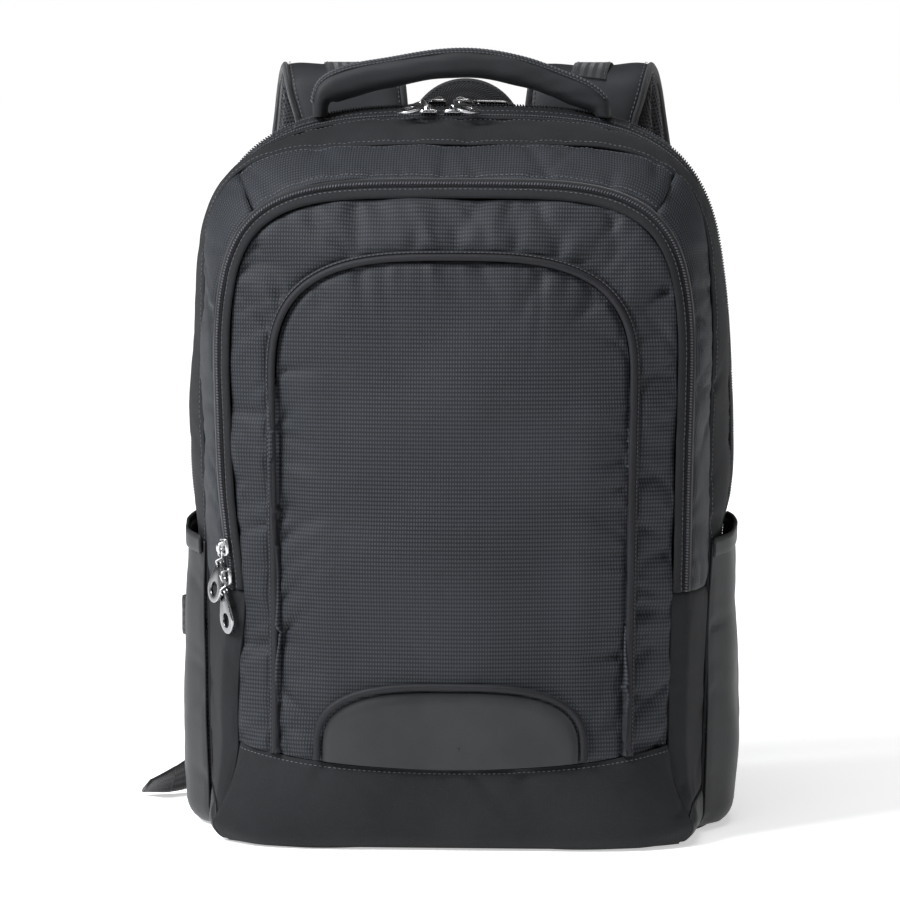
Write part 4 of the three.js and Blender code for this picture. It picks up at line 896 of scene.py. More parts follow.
# %% Front band and panel
PIPING_HALF = 3.1
outer_x, outer_z = front_arch(facing)
cord_x, cord_z = front_arch(RINGS["piping"])
band_x, band_z = offset_line(cord_x, cord_z, PIPING_HALF * 0.9)
shares = seam_steps(24, 2.2)[:, None]
band_grid = on_front(mix(outer_x, band_x, shares), mix(outer_z, band_z, shares))
flat_uv = band_grid[..., [0, 2]]
band_grid = sew(band_grid, [band_grid[0], band_grid[-1]], 41, roll=2.2, roll_reach=2.6, size=3.0, reach=13,
                dent=2.6, dent_scale=26, spacing=7)
cloth("gathered_band", band_grid, DOBBY, ["front_band"], uv=flat_uv)

panel_x, panel_z = offset_line(cord_x, cord_z, -PIPING_HALF * 0.9)
inside = slice(90, len(panel_x) - 90)
rise = seam_steps(300, 3.0)[:, None]
spread_x = panel_x[inside][None] * girth(facing, mix(boot_seam(panel_x[inside]), panel_z[inside], rise))
spread_x = spread_x / girth(facing, panel_z[inside])
panel_grid = on_front(spread_x, mix(boot_seam(panel_x[inside]), panel_z[inside], rise))
panel_uv = panel_grid[..., [0, 2]]
arch_edge = np.concatenate([panel_grid[:, 0], panel_grid[-1], panel_grid[::-1, -1]])
panel_grid = sew(panel_grid, [arch_edge, panel_grid[0]], 42, roll=2.2, roll_reach=2.8, size=2.6, reach=20,
                 dent=3.6, dent_scale=60, spacing=8)
cloth("front_panel_cloth", panel_grid, DOBBY, ["front_panel"], uv=panel_uv)
print("front panel grid:", panel_grid.shape[:2])

# %% [markdown]
# ## Boot
# Along the foot runs a plain panel that turns under the bag. It is cut straight, so the weave runs level.

# %% Boot
boot_share = np.sin(np.linspace(-1, 1, 111) * math.pi / 2)
boot_down = seam_steps(64, 2.5)
boot_rows = []
for t in boot_down:
    x_top = boot_share * half_width(facing, np.array(BOOT_SEAM + BOOT_RISE), np.sign(boot_share))
    z = mix(boot_seam(x_top), 0.0, t)
    boot_rows.append(on_front(boot_share * half_width(facing, z, np.sign(boot_share)), z))
boot_grid = np.array(boot_rows)
boot_grid = sew(boot_grid, [boot_grid[0], boot_grid[:, 0], boot_grid[:, -1]], 43, roll=1.5, size=1.3, reach=14,
                dent=1.2, dent_scale=50)
boot_grid[..., 2] = np.maximum(boot_grid[..., 2], 0.05)
cloth("boot_cloth", boot_grid, OXFORD, ["boot"])
print("boot grid:", boot_grid.shape[:2])

# %% [markdown]
# ## Cords and bands that follow a line
# Piping, the handle, webbing and the straps are all one idea: a section carried along a line, turned so that its
# own up direction leaves the surface. One helper makes the rings of points, and another closes them to a tube.

# %% Sweeps


def frames_along(line, out):
    """Run, out and across directions at each point of a line."""
    run = unit(np.gradient(line, axis=0))
    out = unit(out - (out * run).sum(axis=-1, keepdims=True) * run)
    return run, out, np.cross(out, run)


def sweep(line, out, section):
    """Carries a section, pairs of (across, out), along a line. The section may change along the way."""
    out, across = frames_along(line, out)[1:]
    section = np.broadcast_to(section, (len(line),) + np.shape(section)[-2:])
    return line[:, None] + across[:, None] * section[..., :1] + out[:, None] * section[..., 1:]


def tube(name, rings, finish, nodes=(), caps=True):
    """Closes rings of points to a solid, with its weave running along it."""
    count, sides = rings.shape[:2]
    shape = np.concatenate([rings, rings[:, :1]], axis=1)
    uv = np.stack([lengths(rings.mean(axis=1)[:, None], 0).repeat(sides + 1, axis=1), lengths(shape, 1)], axis=-1)
    faces, spots = quad_faces(count, sides, False, wrap=True)
    loop_uv = uv[spots[:, 0], spots[:, 1]]
    points = rings.reshape(-1, 3)
    centre = rings.mean(axis=1)
    a, b, c = (points[np.array(faces)[:, k]] for k in range(3))
    out = np.cross(b - a, c - a) * (a - centre[np.array(faces)[:, 0] // sides])
    flip = out.sum() < 0
    if flip:
        faces = [f[::-1] for f in faces]
        loop_uv = loop_uv.reshape(-1, 4, 2)[:, ::-1].reshape(-1, 2)
    if caps:
        first = list(range(sides))
        last = [(count - 1) * sides + k for k in range(sides)]
        faces += [first, last[::-1]] if not flip else [first[::-1], last]
        loop_uv = np.concatenate([loop_uv, np.zeros((2 * sides, 2))])
    return on_body(make_piece(name, points, faces, finish, loop_uv), *nodes)


def oval(across, out, sides=14):
    """An oval section from its two half widths."""
    turn = np.linspace(0, 2 * math.pi, sides, endpoint=False)
    return np.stack([across * np.cos(turn), out * np.sin(turn)], axis=-1)


print("sweep helpers ready")

# %% [markdown]
# ## Piping
# The fat piping is a cord wrapped in cloth, with its flange showing as a flat lip beside it and a line of
# stitches between. The section below has both: a round cord and a low lip on its outer side.

# %% Piping
cord_line = on_front(cord_x, cord_z)
cord_out = front_normal(cord_x, cord_z)
turn = np.linspace(0, 2 * math.pi, 18, endpoint=False)
cord_section = np.stack([2.15 * np.cos(turn) - 0.9, 0.7 + 1.75 * np.sin(turn)], axis=-1)
tube("piping_cord", sweep(cord_line, cord_out, cord_section), PIPING, ["front_piping"])
lip = np.array([[0.9, -0.9], [3.3, -0.9], [3.4, -0.2], [3.0, 0.25], [2.1, 0.35], [1.3, 0.1]])
tube("piping_lip", sweep(cord_line, cord_out, lip), PIPING)
print("piping length:", round(float(distances(cord_line)[-1])), "mm")

# %% Patch and its piping
PATCH_HALF, PATCH_RISE, PATCH_SPRING, PATCH_SQUARE = 76.0, 46.0, 10.0, 2.9
patch_turn = np.linspace(math.pi, 0, 97)


def patch_rim(extra):
    """The patch's curved rim, or a line some way outside it."""
    c, s = np.cos(patch_turn), np.sin(patch_turn).clip(0)
    k = (np.abs(c) ** PATCH_SQUARE + s**PATCH_SQUARE) ** (-1 / PATCH_SQUARE)
    z = BOOT_SEAM + 0.8 + PATCH_SPRING + (PATCH_RISE - PATCH_SPRING + extra) * k * s
    return (PATCH_HALF + extra) * k * c, z


rim_x, rim_z = patch_rim(0)
patch_up = seam_steps(44, 2.0)[:, None]
patch_z = mix(boot_seam(rim_x) + 0.6, rim_z, patch_up)
patch_grid = on_front(rim_x + 0 * patch_z, patch_z) + front_normal(rim_x + 0 * patch_z, patch_z) * 2.2
patch_rim_line = np.concatenate([patch_grid[:, 0], patch_grid[-1], patch_grid[::-1, -1]])
patch_grid = sew(patch_grid, [patch_rim_line], 44, roll=1.2, roll_reach=3.0, size=0.12, reach=8, dent=0.5)
cloth("patch_cloth", patch_grid, COATED, ["patch"], wall=1.1)

edge_x, edge_z = patch_rim(3.3)
edge_x = np.concatenate([[edge_x[0]] * 6, edge_x, [edge_x[-1]] * 6])
feet = np.linspace(boot_seam(edge_x[0]) + 0.8, edge_z[0], 6, endpoint=False)
edge_z = np.concatenate([feet, edge_z, feet[::-1]])
edge_line = on_front(edge_x, edge_z) + front_normal(edge_x, edge_z) * 2.4
tube("patch_piping_cord", sweep(edge_line, front_normal(edge_x, edge_z), oval(2.1, 1.7)), PIPING,
     ["patch_piping"])
print("patch grid:", patch_grid.shape[:2])

# %% [markdown]
# ## Side pockets
# An open pocket of coated cloth lies over each side wall. It stands off the wall most in its lower third, where
# a bottle would sit, and is pulled in by its hem. Its foot turns under the bag with the wall.

# %% Side pockets
POCKET_RINGS = ["pocket_seam", "gusset_mid", "main_front", "main_rear", "laptop_front", "laptop_rear"]
MOUTH_FRONT, MOUTH_REAR, POCKET_EDGE = 177.0, 184.0, 2.8
# how far the pocket stands off the wall on its way up, as shares of the mouth's height and of the bag's half width
POCKET_UP, POCKET_OFF = (0, 0.3, 0.6, 1), (0.074, 0.086, 0.074, 0.054)
HEM_UP, HEM_ROLL = (0.955, 0.96, 0.975, 1.0, 1.018, 1.022), (-0.9, -0.1, 0.15, 0.15, -0.1, -0.9)


def pocket_grid(side, share_down, extra=0.0):
    """A side pocket: a row of points for each share of the mouth's height, over the arches behind it."""
    columns = []
    for i, name in enumerate(POCKET_RINGS):
        ring, share = RINGS[name], i / 5
        mouth = mix(MOUTH_FRONT, MOUTH_REAR, share)
        z = mouth * share_down
        p = stack(side * half_width(ring, z, side), ring_y(ring, z), z)
        fill = read(POCKET_UP, POCKET_OFF, z / mouth) * HALF
        off = POCKET_EDGE + extra + (fill - POCKET_EDGE) * math.sin(math.pi * share) ** 0.6
        way = outward(p)
        way[..., 2] = 0
        columns.append(tuck(p + unit(way) * off[:, None]))
    return through_lines(columns)


for label, side in SIDES:
    pocket = pocket_grid(side, np.linspace(1, 0, 70))
    pocket = sew(pocket, [pocket[0], pocket[-1]], 51 + side, roll=1.0, size=0.9, reach=20, dent=2.2, dent_scale=50)
    pocket[..., 2] = np.maximum(pocket[..., 2], 0.05)
    cloth(f"pocket_cloth_{label}", pocket, COATED, [f"side_pocket_{label}"], wall=1.3)
    hem = pocket_grid(side, np.array(HEM_UP), extra=1.0)
    hem = hem + grid_normals(hem) * np.array(HEM_ROLL)[None, :, None]
    cloth(f"pocket_hem_{label}_cloth", hem, COATED, [f"pocket_hem_{label}"], wall=2.2)
print("side pocket grid:", pocket.shape[:2])

# %% [markdown]
# ## Base
# The floor of the bag is plain cloth that meets the lower edge of every wall.

# %% Base
base_up = ["facing", "pocket_rear", "pocket_seam"]
base_back = ["laptop_rear", "rear_edge", "back_seam"]


def base_edge(side):
    """The base's edge along one side, from the front to the back."""
    zero = np.zeros(1)
    edge = [on_ring(RINGS[n], side * half_width(RINGS[n], zero, side), zero)[0] for n in base_up]
    pocket_foot = pocket_grid(side, np.array([0.0]))[:, 0]
    at = np.linspace(0, len(pocket_foot) - 1, 6).astype(int)[1:-1]
    edge += [pocket_foot[k] for k in at]
    return np.array(edge + [on_ring(RINGS[n], side * half_width(RINGS[n], zero, side), zero)[0] for n in base_back])


left_edge, right_edge = base_edge(-1), base_edge(1)
across = np.linspace(0, 1, 61)
front_foot = on_front((2 * across - 1) * half_width(facing, np.zeros(61), np.sign(2 * across - 1)), np.zeros(61))
base_grid = mix(left_edge[:, None], right_edge[:, None], across[None, :, None])
bow = front_foot[:, 1] - base_grid[0, :, 1]
rows = len(base_grid)
base_grid[..., 1] += bow * np.maximum(0, 1 - 3 * np.arange(rows) / (rows - 1))[:, None]
base_grid[..., 2] = 0.02
base_grid = read(np.arange(rows), base_grid, np.linspace(0, rows - 1, 46))
cloth("base_cloth", base_grid, OXFORD, ["base_panel"], wall=1.4)
print("base grid:", base_grid.shape[:2])

# %% [markdown]
# ## Zips
# A coil zip is two woven tapes with a row of nylon loops sewn along each, and the loops interlock down the
# middle. There are thousands of them, so Geometry Nodes lays them: a guide line carries the direction of travel
# and the way out of the cloth at every point, the tree spaces points along it and puts one small loop on each.
# The same tree lays stitches, since a stitch is also a small rounded bar in a row.

# %% A tree that lays beads along a line


def bead_tree():
    """A Geometry Nodes tree that puts one bead at every step of a guide line."""
    tree = bpy.data.node_groups.new("beads_along_a_line", "GeometryNodeTree")
    tree.is_modifier = True
    face = tree.interface
    face.new_socket("Guide", in_out="INPUT", socket_type="NodeSocketGeometry")
    for name in ("Pitch", "Length", "Width", "Height"):
        face.new_socket(name, in_out="INPUT", socket_type="NodeSocketFloat")
    face.new_socket("Finish", in_out="INPUT", socket_type="NodeSocketMaterial")
    face.new_socket("Beads", in_out="OUTPUT", socket_type="NodeSocketGeometry")
    add = tree.nodes.new
    link = tree.links.new
    start, end = add("NodeGroupInput"), add("NodeGroupOutput")
    curve, spaced = add("GeometryNodeMeshToCurve"), add("GeometryNodeResampleCurve")
    spaced.mode = "LENGTH"
    link(start.outputs["Guide"], curve.inputs[0])
    link(curve.outputs[0], spaced.inputs["Curve"])
    link(start.outputs["Pitch"], spaced.inputs["Length"])
    bead = add("GeometryNodeMeshUVSphere")
    bead.inputs["Segments"].default_value = 6
    bead.inputs["Rings"].default_value = 4
    bead.inputs["Radius"].default_value = 0.5
    size, shaped = add("ShaderNodeCombineXYZ"), add("GeometryNodeTransform")
    for socket, name in zip(size.inputs, ("Length", "Width", "Height")):
        link(start.outputs[name], socket)
    link(bead.outputs["Mesh"], shaped.inputs["Geometry"])
    link(size.outputs[0], shaped.inputs["Scale"])
    rotation = add("FunctionNodeAxesToRotation")
    rotation.primary_axis, rotation.secondary_axis = "Z", "X"
    for name, socket in (("out", rotation.inputs[0]), ("run", rotation.inputs[1])):
        read_name = add("GeometryNodeInputNamedAttribute")
        read_name.data_type = "FLOAT_VECTOR"
        read_name.inputs["Name"].default_value = name
        link(read_name.outputs["Attribute"], socket)
    put = add("GeometryNodeInstanceOnPoints")
    link(spaced.outputs[0], put.inputs["Points"])
    link(shaped.outputs[0], put.inputs["Instance"])
    link(rotation.outputs[0], put.inputs["Rotation"])
    real, finish = add("GeometryNodeRealizeInstances"), add("GeometryNodeSetMaterial")
    link(put.outputs[0], real.inputs[0])
    link(real.outputs[0], finish.inputs["Geometry"])
    link(start.outputs["Finish"], finish.inputs["Material"])
    link(finish.outputs[0], end.inputs[0])
    return tree


BEADS = bead_tree()


def lay_beads(name, guides, pitch, size, finish):
    """Guides are (points, out, tilt) in millimetres. Every guide gets beads of one size, in one mesh."""
    points, edges, outs, runs = [], [], [], []
    for line, out, tilt in guides:
        run, out, across = frames_along(line, out)
        start = len(points)
        points += list(line / 1000)
        edges += [(start + i, start + i + 1) for i in range(len(line) - 1)]
        outs += list(out)
        runs += list(run * math.cos(tilt) + across * math.sin(tilt))
    mesh = bpy.data.meshes.new(name)
    mesh.from_pydata([tuple(p) for p in points], edges, [])
    for key, values in (("out", outs), ("run", runs)):
        mesh.attributes.new(key, "FLOAT_VECTOR", "POINT").data.foreach_set("vector", np.array(values).ravel())
    guide = bpy.data.objects.new(name + "_guide", mesh)
    bpy.context.scene.collection.objects.link(guide)
    modifier = guide.modifiers.new("beads", "NODES")
    modifier.node_group = BEADS
    sockets = {s.name: s.identifier for s in BEADS.interface.items_tree if s.in_out == "INPUT"}
    for key, value in zip(("Pitch", "Length", "Width", "Height"), (pitch, *size)):
        modifier[sockets[key]] = value / 1000
    modifier[sockets["Finish"]] = finish
    bpy.context.view_layer.update()
    made = bpy.data.meshes.new_from_object(guide.evaluated_get(bpy.context.evaluated_depsgraph_get()))
    bpy.data.objects.remove(guide)
    made.name = name
    made.polygons.foreach_set("use_smooth", [True] * len(made.polygons))
    obj = bpy.data.objects.new(name, made)
    bpy.context.scene.collection.objects.link(obj)
    if not made.materials:
        made.materials.append(finish)
    print(name, len(made.polygons), "faces")
    return on_body(obj)


def steady(line, step=1.0):
    """The same line with even steps."""
    along = distances(line)
    return resample(line, along, np.arange(0, along[-1], step))


# %% Three zips
ZIPS = {
    "laptop": ("laptop_rear", "laptop_front", 6.0, 100, "laptop_zip"),
    "main": ("main_rear", "main_front", 6.0, 100, "main_zip"),
    "pocket": ("pocket_rear", "pocket_front", WEDGE_TOP, 55, "pocket_zip"),
}
COIL_PITCH = 1.75
zip_middle = {}
for label, (rear, front, low, legs, node) in ZIPS.items():
    tape = band([rear, front], low=low, legs=legs, puff=0.0)
    wide = lengths(tape, 0)
    groove = -0.9 * np.exp(-((np.minimum(wide, wide[-1] - wide) / 1.2) ** 2))
    tape = tape + grid_normals(tape) * groove[..., None]
    cloth(f"{label}_zip_tape", tape, TAPE, [node], wall=1.2)
    middle = steady((tape[0] + tape[-1]) / 2, 1.5)
    out = outward(middle)
    run, out, across = frames_along(middle, out)
    zip_middle[label] = (middle, run, out)
    raised = middle + out * 0.55
    rows = [(raised + across * s * 1.15, out, s * 0.32) for s in (-1, 1)]
    rows[1] = (rows[1][0][1:], out[1:], rows[1][2])
    lay_beads(f"{label}_zip_coil", rows, COIL_PITCH, (1.25, 2.9, 1.3), COIL)
print("zips:", len(ZIPS))

# %% [markdown]
# ## Ribbons and padded rolls
# Straps and webbing are flat bands that bend and twist as they go. Each is given as a few stations, with a place and
# the direction of its width, and a smooth curve is read through them. The section is then carried along with its
# width kept in that direction, as a real band keeps it.

# %% Bands through stations


def through(stations, step):
    """Reads a smooth curve through a table of stations, whose first three columns are a place."""
    stations = np.asarray(stations, float)
    knots = distances(stations[:, :3])
    return read(knots, stations, np.linspace(0, knots[-1], int(knots[-1] / step) + 2))


def carry(line, wide_way, section):
    """Sections of (along the width, out of the face) on a line, with the width in a given direction."""
    run = unit(np.gradient(line, axis=0))
    out = unit(np.cross(np.broadcast_to(wide_way, line.shape), run))
    wide = unit(np.cross(run, out))
    section = np.broadcast_to(section, (len(line),) + np.shape(section)[-2:])
    return line[:, None] + wide[:, None] * section[..., :1] + out[:, None] * section[..., 1:], out, wide


def flat_section(width, thick, steps=9):
    """A flat band with rounded edges and its woven selvedges a little thicker."""
    u = np.linspace(-1, 1, steps)
    rim = 1 + 0.18 * np.exp(-(((np.abs(u) - 0.88) / 0.06) ** 2))
    top = np.stack([u * (width / 2 - thick * 0.3), 0.5 * thick * rim], axis=-1)
    top[0, 1] = top[-1, 1] = 0.25 * thick
    return np.concatenate([top, top[::-1] * [1, -1]])


# %% [markdown]
# ## Grab handle
# The handle is a roll of foam in smooth cloth, fattest in the middle, and its ends are folded flat and sewn into
# the strip between the two zips. A band along its front closes the roll with zigzag stitches.

# %% Grab handle
# along the span, rise, thickness, depth: shares of the handle's own sizes
HANDLE = np.array([
    (-1, 0, 0.45, 1), (-0.985, 0.33, 0.6, 1), (-0.93, 0.5, 0.95, 0.95), (-0.78, 0.66, 1.08, 0.95),
    (-0.5, 0.82, 1, 1), (-0.15, 0.97, 1, 1), (0.12, 0.98, 1, 1), (0.42, 0.84, 0.98, 1), (0.68, 0.6, 0.95, 1),
    (0.86, 0.4, 0.9, 1), (0.96, 0.22, 0.7, 1), (1, 0, 0.45, 1),
])
HANDLE_SPAN, HANDLE_RISE, HANDLE_THICK, HANDLE_DEEP, HANDLE_Y = 88.0, 33.0, 18.0, 22.0, 49.3


def height_on(ring, x):
    """How high an arch is at a place from side to side."""
    side_x, side_z = side_line(RINGS[ring], 0, 2, 200, 1)
    return np.interp(np.abs(x), side_x[:1:-1], side_z[:1:-1])


handle_foot = float(height_on("laptop_front", HANDLE_SPAN)) + 0.3
stations = np.stack([HANDLE[:, 0] * HANDLE_SPAN, 0 * HANDLE[:, 0] + HANDLE_Y,
                     handle_foot + HANDLE[:, 1] * HANDLE_RISE, HANDLE[:, 2], HANDLE[:, 3]], axis=-1)
handle = through(stations, 1.4)
handle_line = handle[:, :3]
handle_turn = np.radians(np.linspace(0, 360, 48, endpoint=False))


def handle_section(turn, grow=0.0):
    """The handle's sections at some angles round it, or as far outside them as given."""
    c, s = np.cos(turn), np.sin(turn)
    u = np.sign(c) * np.abs(c) ** 0.78 * (handle[:, 4:5] * HANDLE_DEEP / 2 + grow)
    n = np.sign(s) * np.abs(s) ** 0.78 * (handle[:, 3:4] * HANDLE_THICK / 2 + grow)
    return np.stack([u, n], axis=-1)


WIDE_BACK = np.array([0.0, 1.0, 0.0])
handle_rings = carry(handle_line, -WIDE_BACK, handle_section(handle_turn))[0]
centre = handle_line[:, None]
swell = slow_noise(handle_rings, 26, 61) * 0.9 + slow_noise(handle_rings * [0.5, 1, 2.2], 9, 62) * 0.35
handle_rings = handle_rings + unit(handle_rings - centre) * swell[..., None]
foot_rings = np.minimum(1, np.minimum(np.arange(len(handle)), np.arange(len(handle))[::-1]) / 4)
handle_rings[..., 2] = mix(handle_foot, handle_rings[..., 2], foot_rings[:, None])
handle_piece = tube("handle_roll", handle_rings, OXFORD_FINE, ["grab_handle"])

BAND_TURN, BAND_LIFT, BAND_ENDS, BAND_ROLL = (88, 40), 0.75, slice(6, -6), (0.9, 0.1, 0, 0, 0, 0, 0, 0.1, 0.9)
band_turn = np.radians(np.linspace(*BAND_TURN, len(BAND_ROLL)))
band_rings = carry(handle_line, -WIDE_BACK, handle_section(band_turn, BAND_LIFT))[0][BAND_ENDS]
band_rings = band_rings - unit(band_rings - centre[BAND_ENDS]) * np.array(BAND_ROLL)[None, :, None]
cloth("handle_band", band_rings, OXFORD_FINE, wall=0.8)
middle = steady(band_rings[:, 4], 1.2)
band_way = unit(band_rings[:, 4] - centre[BAND_ENDS, 0])
band_way = resample(band_way, np.linspace(0, 1, len(band_way)), np.linspace(0, 1, len(middle)))
lay_beads("handle_zigzag", [(middle, band_way, 0.95), (middle[1:], band_way[1:], -0.95)], 2.4,
          (3.6, 0.55, 0.5), THREAD)
for part, row in (("upper", 1), ("lower", 7)):
    edge = steady(band_rings[:, row], 1.2)
    way = band_way[np.minimum(np.arange(len(edge)), len(band_way) - 1)]
    lay_beads(f"handle_stitch_{part}", [(edge, way, 0.0)], 2.4, (1.7, 0.5, 0.45), THREAD)
print("handle stands", round(float(handle_rings[..., 2].max()), 1), "mm high")

# %% Folded ends of the handle
for label, side in SIDES:
    x = side * np.linspace(84, 105, 18)
    rear = on_ring(RINGS["laptop_front"], x, height_on("laptop_front", x))
    front = on_ring(RINGS["main_rear"], x, height_on("main_rear", x))
    tab = mix(rear[None], front[None], np.linspace(0.04, 0.93, 14)[:, None, None])
    tab = tab + outward(tab) * 2.0
    tab = sew(tab, [tab[0], tab[-1], tab[:, -1]], 63 + side, roll=1.4, roll_reach=1.6, size=0.15, reach=5, dent=0.4)
    cloth(f"handle_tab_{label}", tab, OXFORD_FINE, wall=1.0)
    around = [tab[1], tab[-2], tab[:, -3], tab[:, 8]]
    lay_beads(f"handle_tab_stitch_{label}", [(steady(line), outward(steady(line)), 0.0) for line in around], 2.6,
              (1.8, 0.5, 0.45), THREAD)
print("handle tabs: 2")

# %% [markdown]
# ## Haul loop
# Behind the handle stands a loop of heavy ribbed webbing, bent on the flat, so its ribs fan out round the bend.

# %% Haul loop
HAUL_FOOT, HAUL_RADIUS, HAUL_STRAIGHT, HAUL_Y = 400.0, 24.0, 19.5, 93.35
WEBBING_WIDE, WEBBING_THICK = 25.0, 1.5
turn = np.linspace(math.pi, 0, 60)
arc = np.stack([HAUL_RADIUS * np.cos(turn), 0 * turn + HAUL_Y,
                HAUL_FOOT + HAUL_STRAIGHT + HAUL_RADIUS * np.sin(turn)], axis=-1)
leg = np.linspace(HAUL_FOOT, HAUL_FOOT + HAUL_STRAIGHT, 20, endpoint=False)
left_leg = np.stack([0 * leg - HAUL_RADIUS, 0 * leg + HAUL_Y, leg], axis=-1)
haul_line = np.concatenate([left_leg, arc, (left_leg * [-1, 1, 1])[::-1]])
haul_out = np.broadcast_to(np.array([0.0, -1.0, 0.0]), haul_line.shape)
haul_section = flat_section(WEBBING_WIDE, WEBBING_THICK)
tube("haul_webbing", sweep(haul_line, haul_out, haul_section), WEBBING, ["haul_loop"])
out, across = frames_along(haul_line, haul_out)[1:]
rows = [(haul_line + across * u + out * 0.8, out, 0.0) for u in (-10.4, 10.4)]
lay_beads("haul_stitches", rows, 3.0, (2.1, 0.5, 0.4), DARK_THREAD)
print("haul loop:", round(float(haul_line[:, 2].max()), 1), "mm at the middle of its webbing")

# %% [markdown]
# ## Shoulder straps
# A strap is foam between dobby cloth outside and ribbed spacer mesh underneath, bound along both edges, with a
# narrower band sewn down its middle. Near the root the mesh is wider than the cloth on the outer side, so it shows
# beyond the binding there. Its ribs are real relief, because they catch the light at the strap's edge.

# %% Shoulder straps
# out, back, up, width, thickness: shares of the strap's own sizes
STRAP = np.array([
    (0.66, -0.093, 0.875, 0.88, 0.7), (0.67, -0.053, 0.92, 0.9, 0.9), (0.7, 0.05, 0.963, 0.94, 1),
    (0.735, 0.2, 0.993, 0.98, 1), (0.765, 0.42, 1, 1, 1), (0.8, 0.66, 0.98, 1, 1), (0.845, 0.83, 0.93, 0.97, 1),
    (0.9, 0.93, 0.86, 0.94, 1), (0.96, 1, 0.76, 0.92, 1), (0.99, 1, 0.66, 0.9, 1), (1, 0.98, 0.55, 0.88, 1),
    (0.98, 0.94, 0.45, 0.84, 1), (0.955, 0.88, 0.37, 0.74, 0.95), (0.94, 0.85, 0.33, 0.58, 0.8),
    (0.935, 0.83, 0.31, 0.48, 0.6),
])
STRAP_SPREAD, STRAP_STAND, STRAP_TOP, STRAP_ROOT, STRAP_WIDE, STRAP_THICK = 104.0, 45.0, 454.0, 103.1, 75.0, 9.0
MESH_SPILL_UP, MESH_SPILL = (0.0, 30.0, 55.0, 75.0, 120.0), (17.0, 12.0, 4.0, -1.0, -2.5)
RIB_RISE, RIB_PITCH, MESH_SEAT, MESH_DEEP, MESH_DEEPER = 0.55, 3.1, 0.3, 2.4, 3.2
BINDING_IN, EDGE_STITCH_IN = 1.2, 4.2
WIDE_X = np.array([1.0, 0.0, 0.0])


def strap_stations(side):
    """Places, width and thickness along a strap, in millimetres."""
    return np.stack([side * STRAP[:, 0] * STRAP_SPREAD, STRAP_ROOT + STRAP[:, 1] * STRAP_STAND,
                     STRAP[:, 2] * STRAP_TOP, STRAP[:, 3] * STRAP_WIDE, STRAP[:, 4] * STRAP_THICK], axis=-1)


strap_end = {}
for label, side in SIDES:
    table = through(strap_stations(side), 1.0)
    line, wide, thick = table[:, :3], table[:, 3], table[:, 4]
    far = distances(line)
    u = np.sin(np.linspace(-1, 1, 37) * math.pi / 2)
    crown = 0.16 + 0.84 * (1 - np.abs(u) ** 7) ** 0.5
    top = np.stack(np.broadcast_arrays(u * wide[:, None] / 2, crown * thick[:, None]), axis=-1)
    under = np.stack(np.broadcast_arrays(u[::-1][2:-2:4] * wide[:, None] / 2 * 0.97, 0.0), axis=-1)
    rings, out, across = carry(line, WIDE_X, np.concatenate([top, under], axis=1))
    fold = slow_noise(rings[::3] * [0.6, 1.6, 1.6], 22, 65 + side)
    fold = resample(fold, np.arange(0, len(line), 3), np.arange(len(line)))
    fold[:, len(u):] = 0
    rings = rings + out[:, None] * (fold * 1.1)[..., None]
    piece = tube(f"strap_pad_{label}", rings[::2], OXFORD_FINE, [f"shoulder_strap_{label}"])

    spill = np.interp(far, MESH_SPILL_UP, MESH_SPILL)
    low_u = -(wide / 2 + (spill if side < 0 else MESH_SPILL[-1]))
    high_u = wide / 2 + (spill if side > 0 else MESH_SPILL[-1])
    rib = RIB_RISE * np.abs(np.sin(math.pi * far / RIB_PITCH))
    deep = MESH_DEEP + MESH_DEEPER * smooth((spill - MESH_SPILL[-1]) / 12)
    t = np.linspace(0, 1, 25)
    bow = (1 - np.abs(2 * t - 1) ** 5) ** 0.5
    mesh_u = mix(low_u[:, None], high_u[:, None], t)
    outer = np.stack([mesh_u, -MESH_SEAT - deep[:, None] * bow - rib[:, None] * bow], axis=-1)
    edge = np.abs(2 * t - 1)[::-1][1:-1]
    rise = -MESH_SEAT + 1.3 * smooth(spill / 8)[:, None] * edge**8
    rise = rise + rib[:, None] * 0.7 * (smooth(spill / 6)[:, None] * edge**6)
    inner = np.stack([mesh_u[:, ::-1][:, 1:-1], rise], axis=-1)
    mesh_rings = carry(line, WIDE_X, np.concatenate([outer, inner], axis=1))[0]
    tube(f"strap_mesh_cloth_{label}", mesh_rings, MESH, [f"strap_mesh_{label}"])

    for edge, way in (("inner", -side), ("outer", side)):
        bound = oval(2.1, 1.0, 12)[None]
        bound = np.stack([bound[..., 0] + way * (wide[:, None] / 2 - BINDING_IN),
                          bound[..., 1] * thick[:, None] * 0.46 + thick[:, None] * 0.46], axis=-1)
        bind_rings = carry(line, WIDE_X, bound)[0]
        tube(f"strap_binding_{edge}_{label}", bind_rings[::2], STRAP_TAPE)
        lift = thick * 0.9 + 0.35
        stitch = line + across * (way * (wide / 2 - EDGE_STITCH_IN))[:, None] + out * lift[:, None]
        lay_beads(f"strap_edge_stitch_{edge}_{label}", [(stitch, out, 0.0)], 3.0, (2.1, 0.55, 0.45), THREAD)
    strap_end[label] = (line[-1], out[-1], unit(line[-1] - line[-2]))
print("strap length:", round(float(far[-1])), "mm")

# %% [markdown]
# ### Tape, locks and webbing
# The band down the middle of each strap runs on past its end, through the upper bar of a ladder lock and back. The
# webbing comes from the bag's foot, threads the lock's lower bars and hangs down as a free tail with a folded hem.

# %% Strap tape
TAPE_WIDE, TAPE_THICK, TAPE_FROM = 23.0, 1.2, 3
TAPE_TURN = [(5.7, 10), (5.7, 13.2), (4.7, 15.8), (2.5, 16.4), (0.3, 15.8), (-0.7, 13.2), (-0.7, 9), (-0.7, 3.33)]


def at_lock(label, pairs):
    """Places beside a strap's end: how far out of its face, and how far on past the end."""
    end, out, run = strap_end[label]
    return np.array([end + out * n + run * down for n, down in pairs])


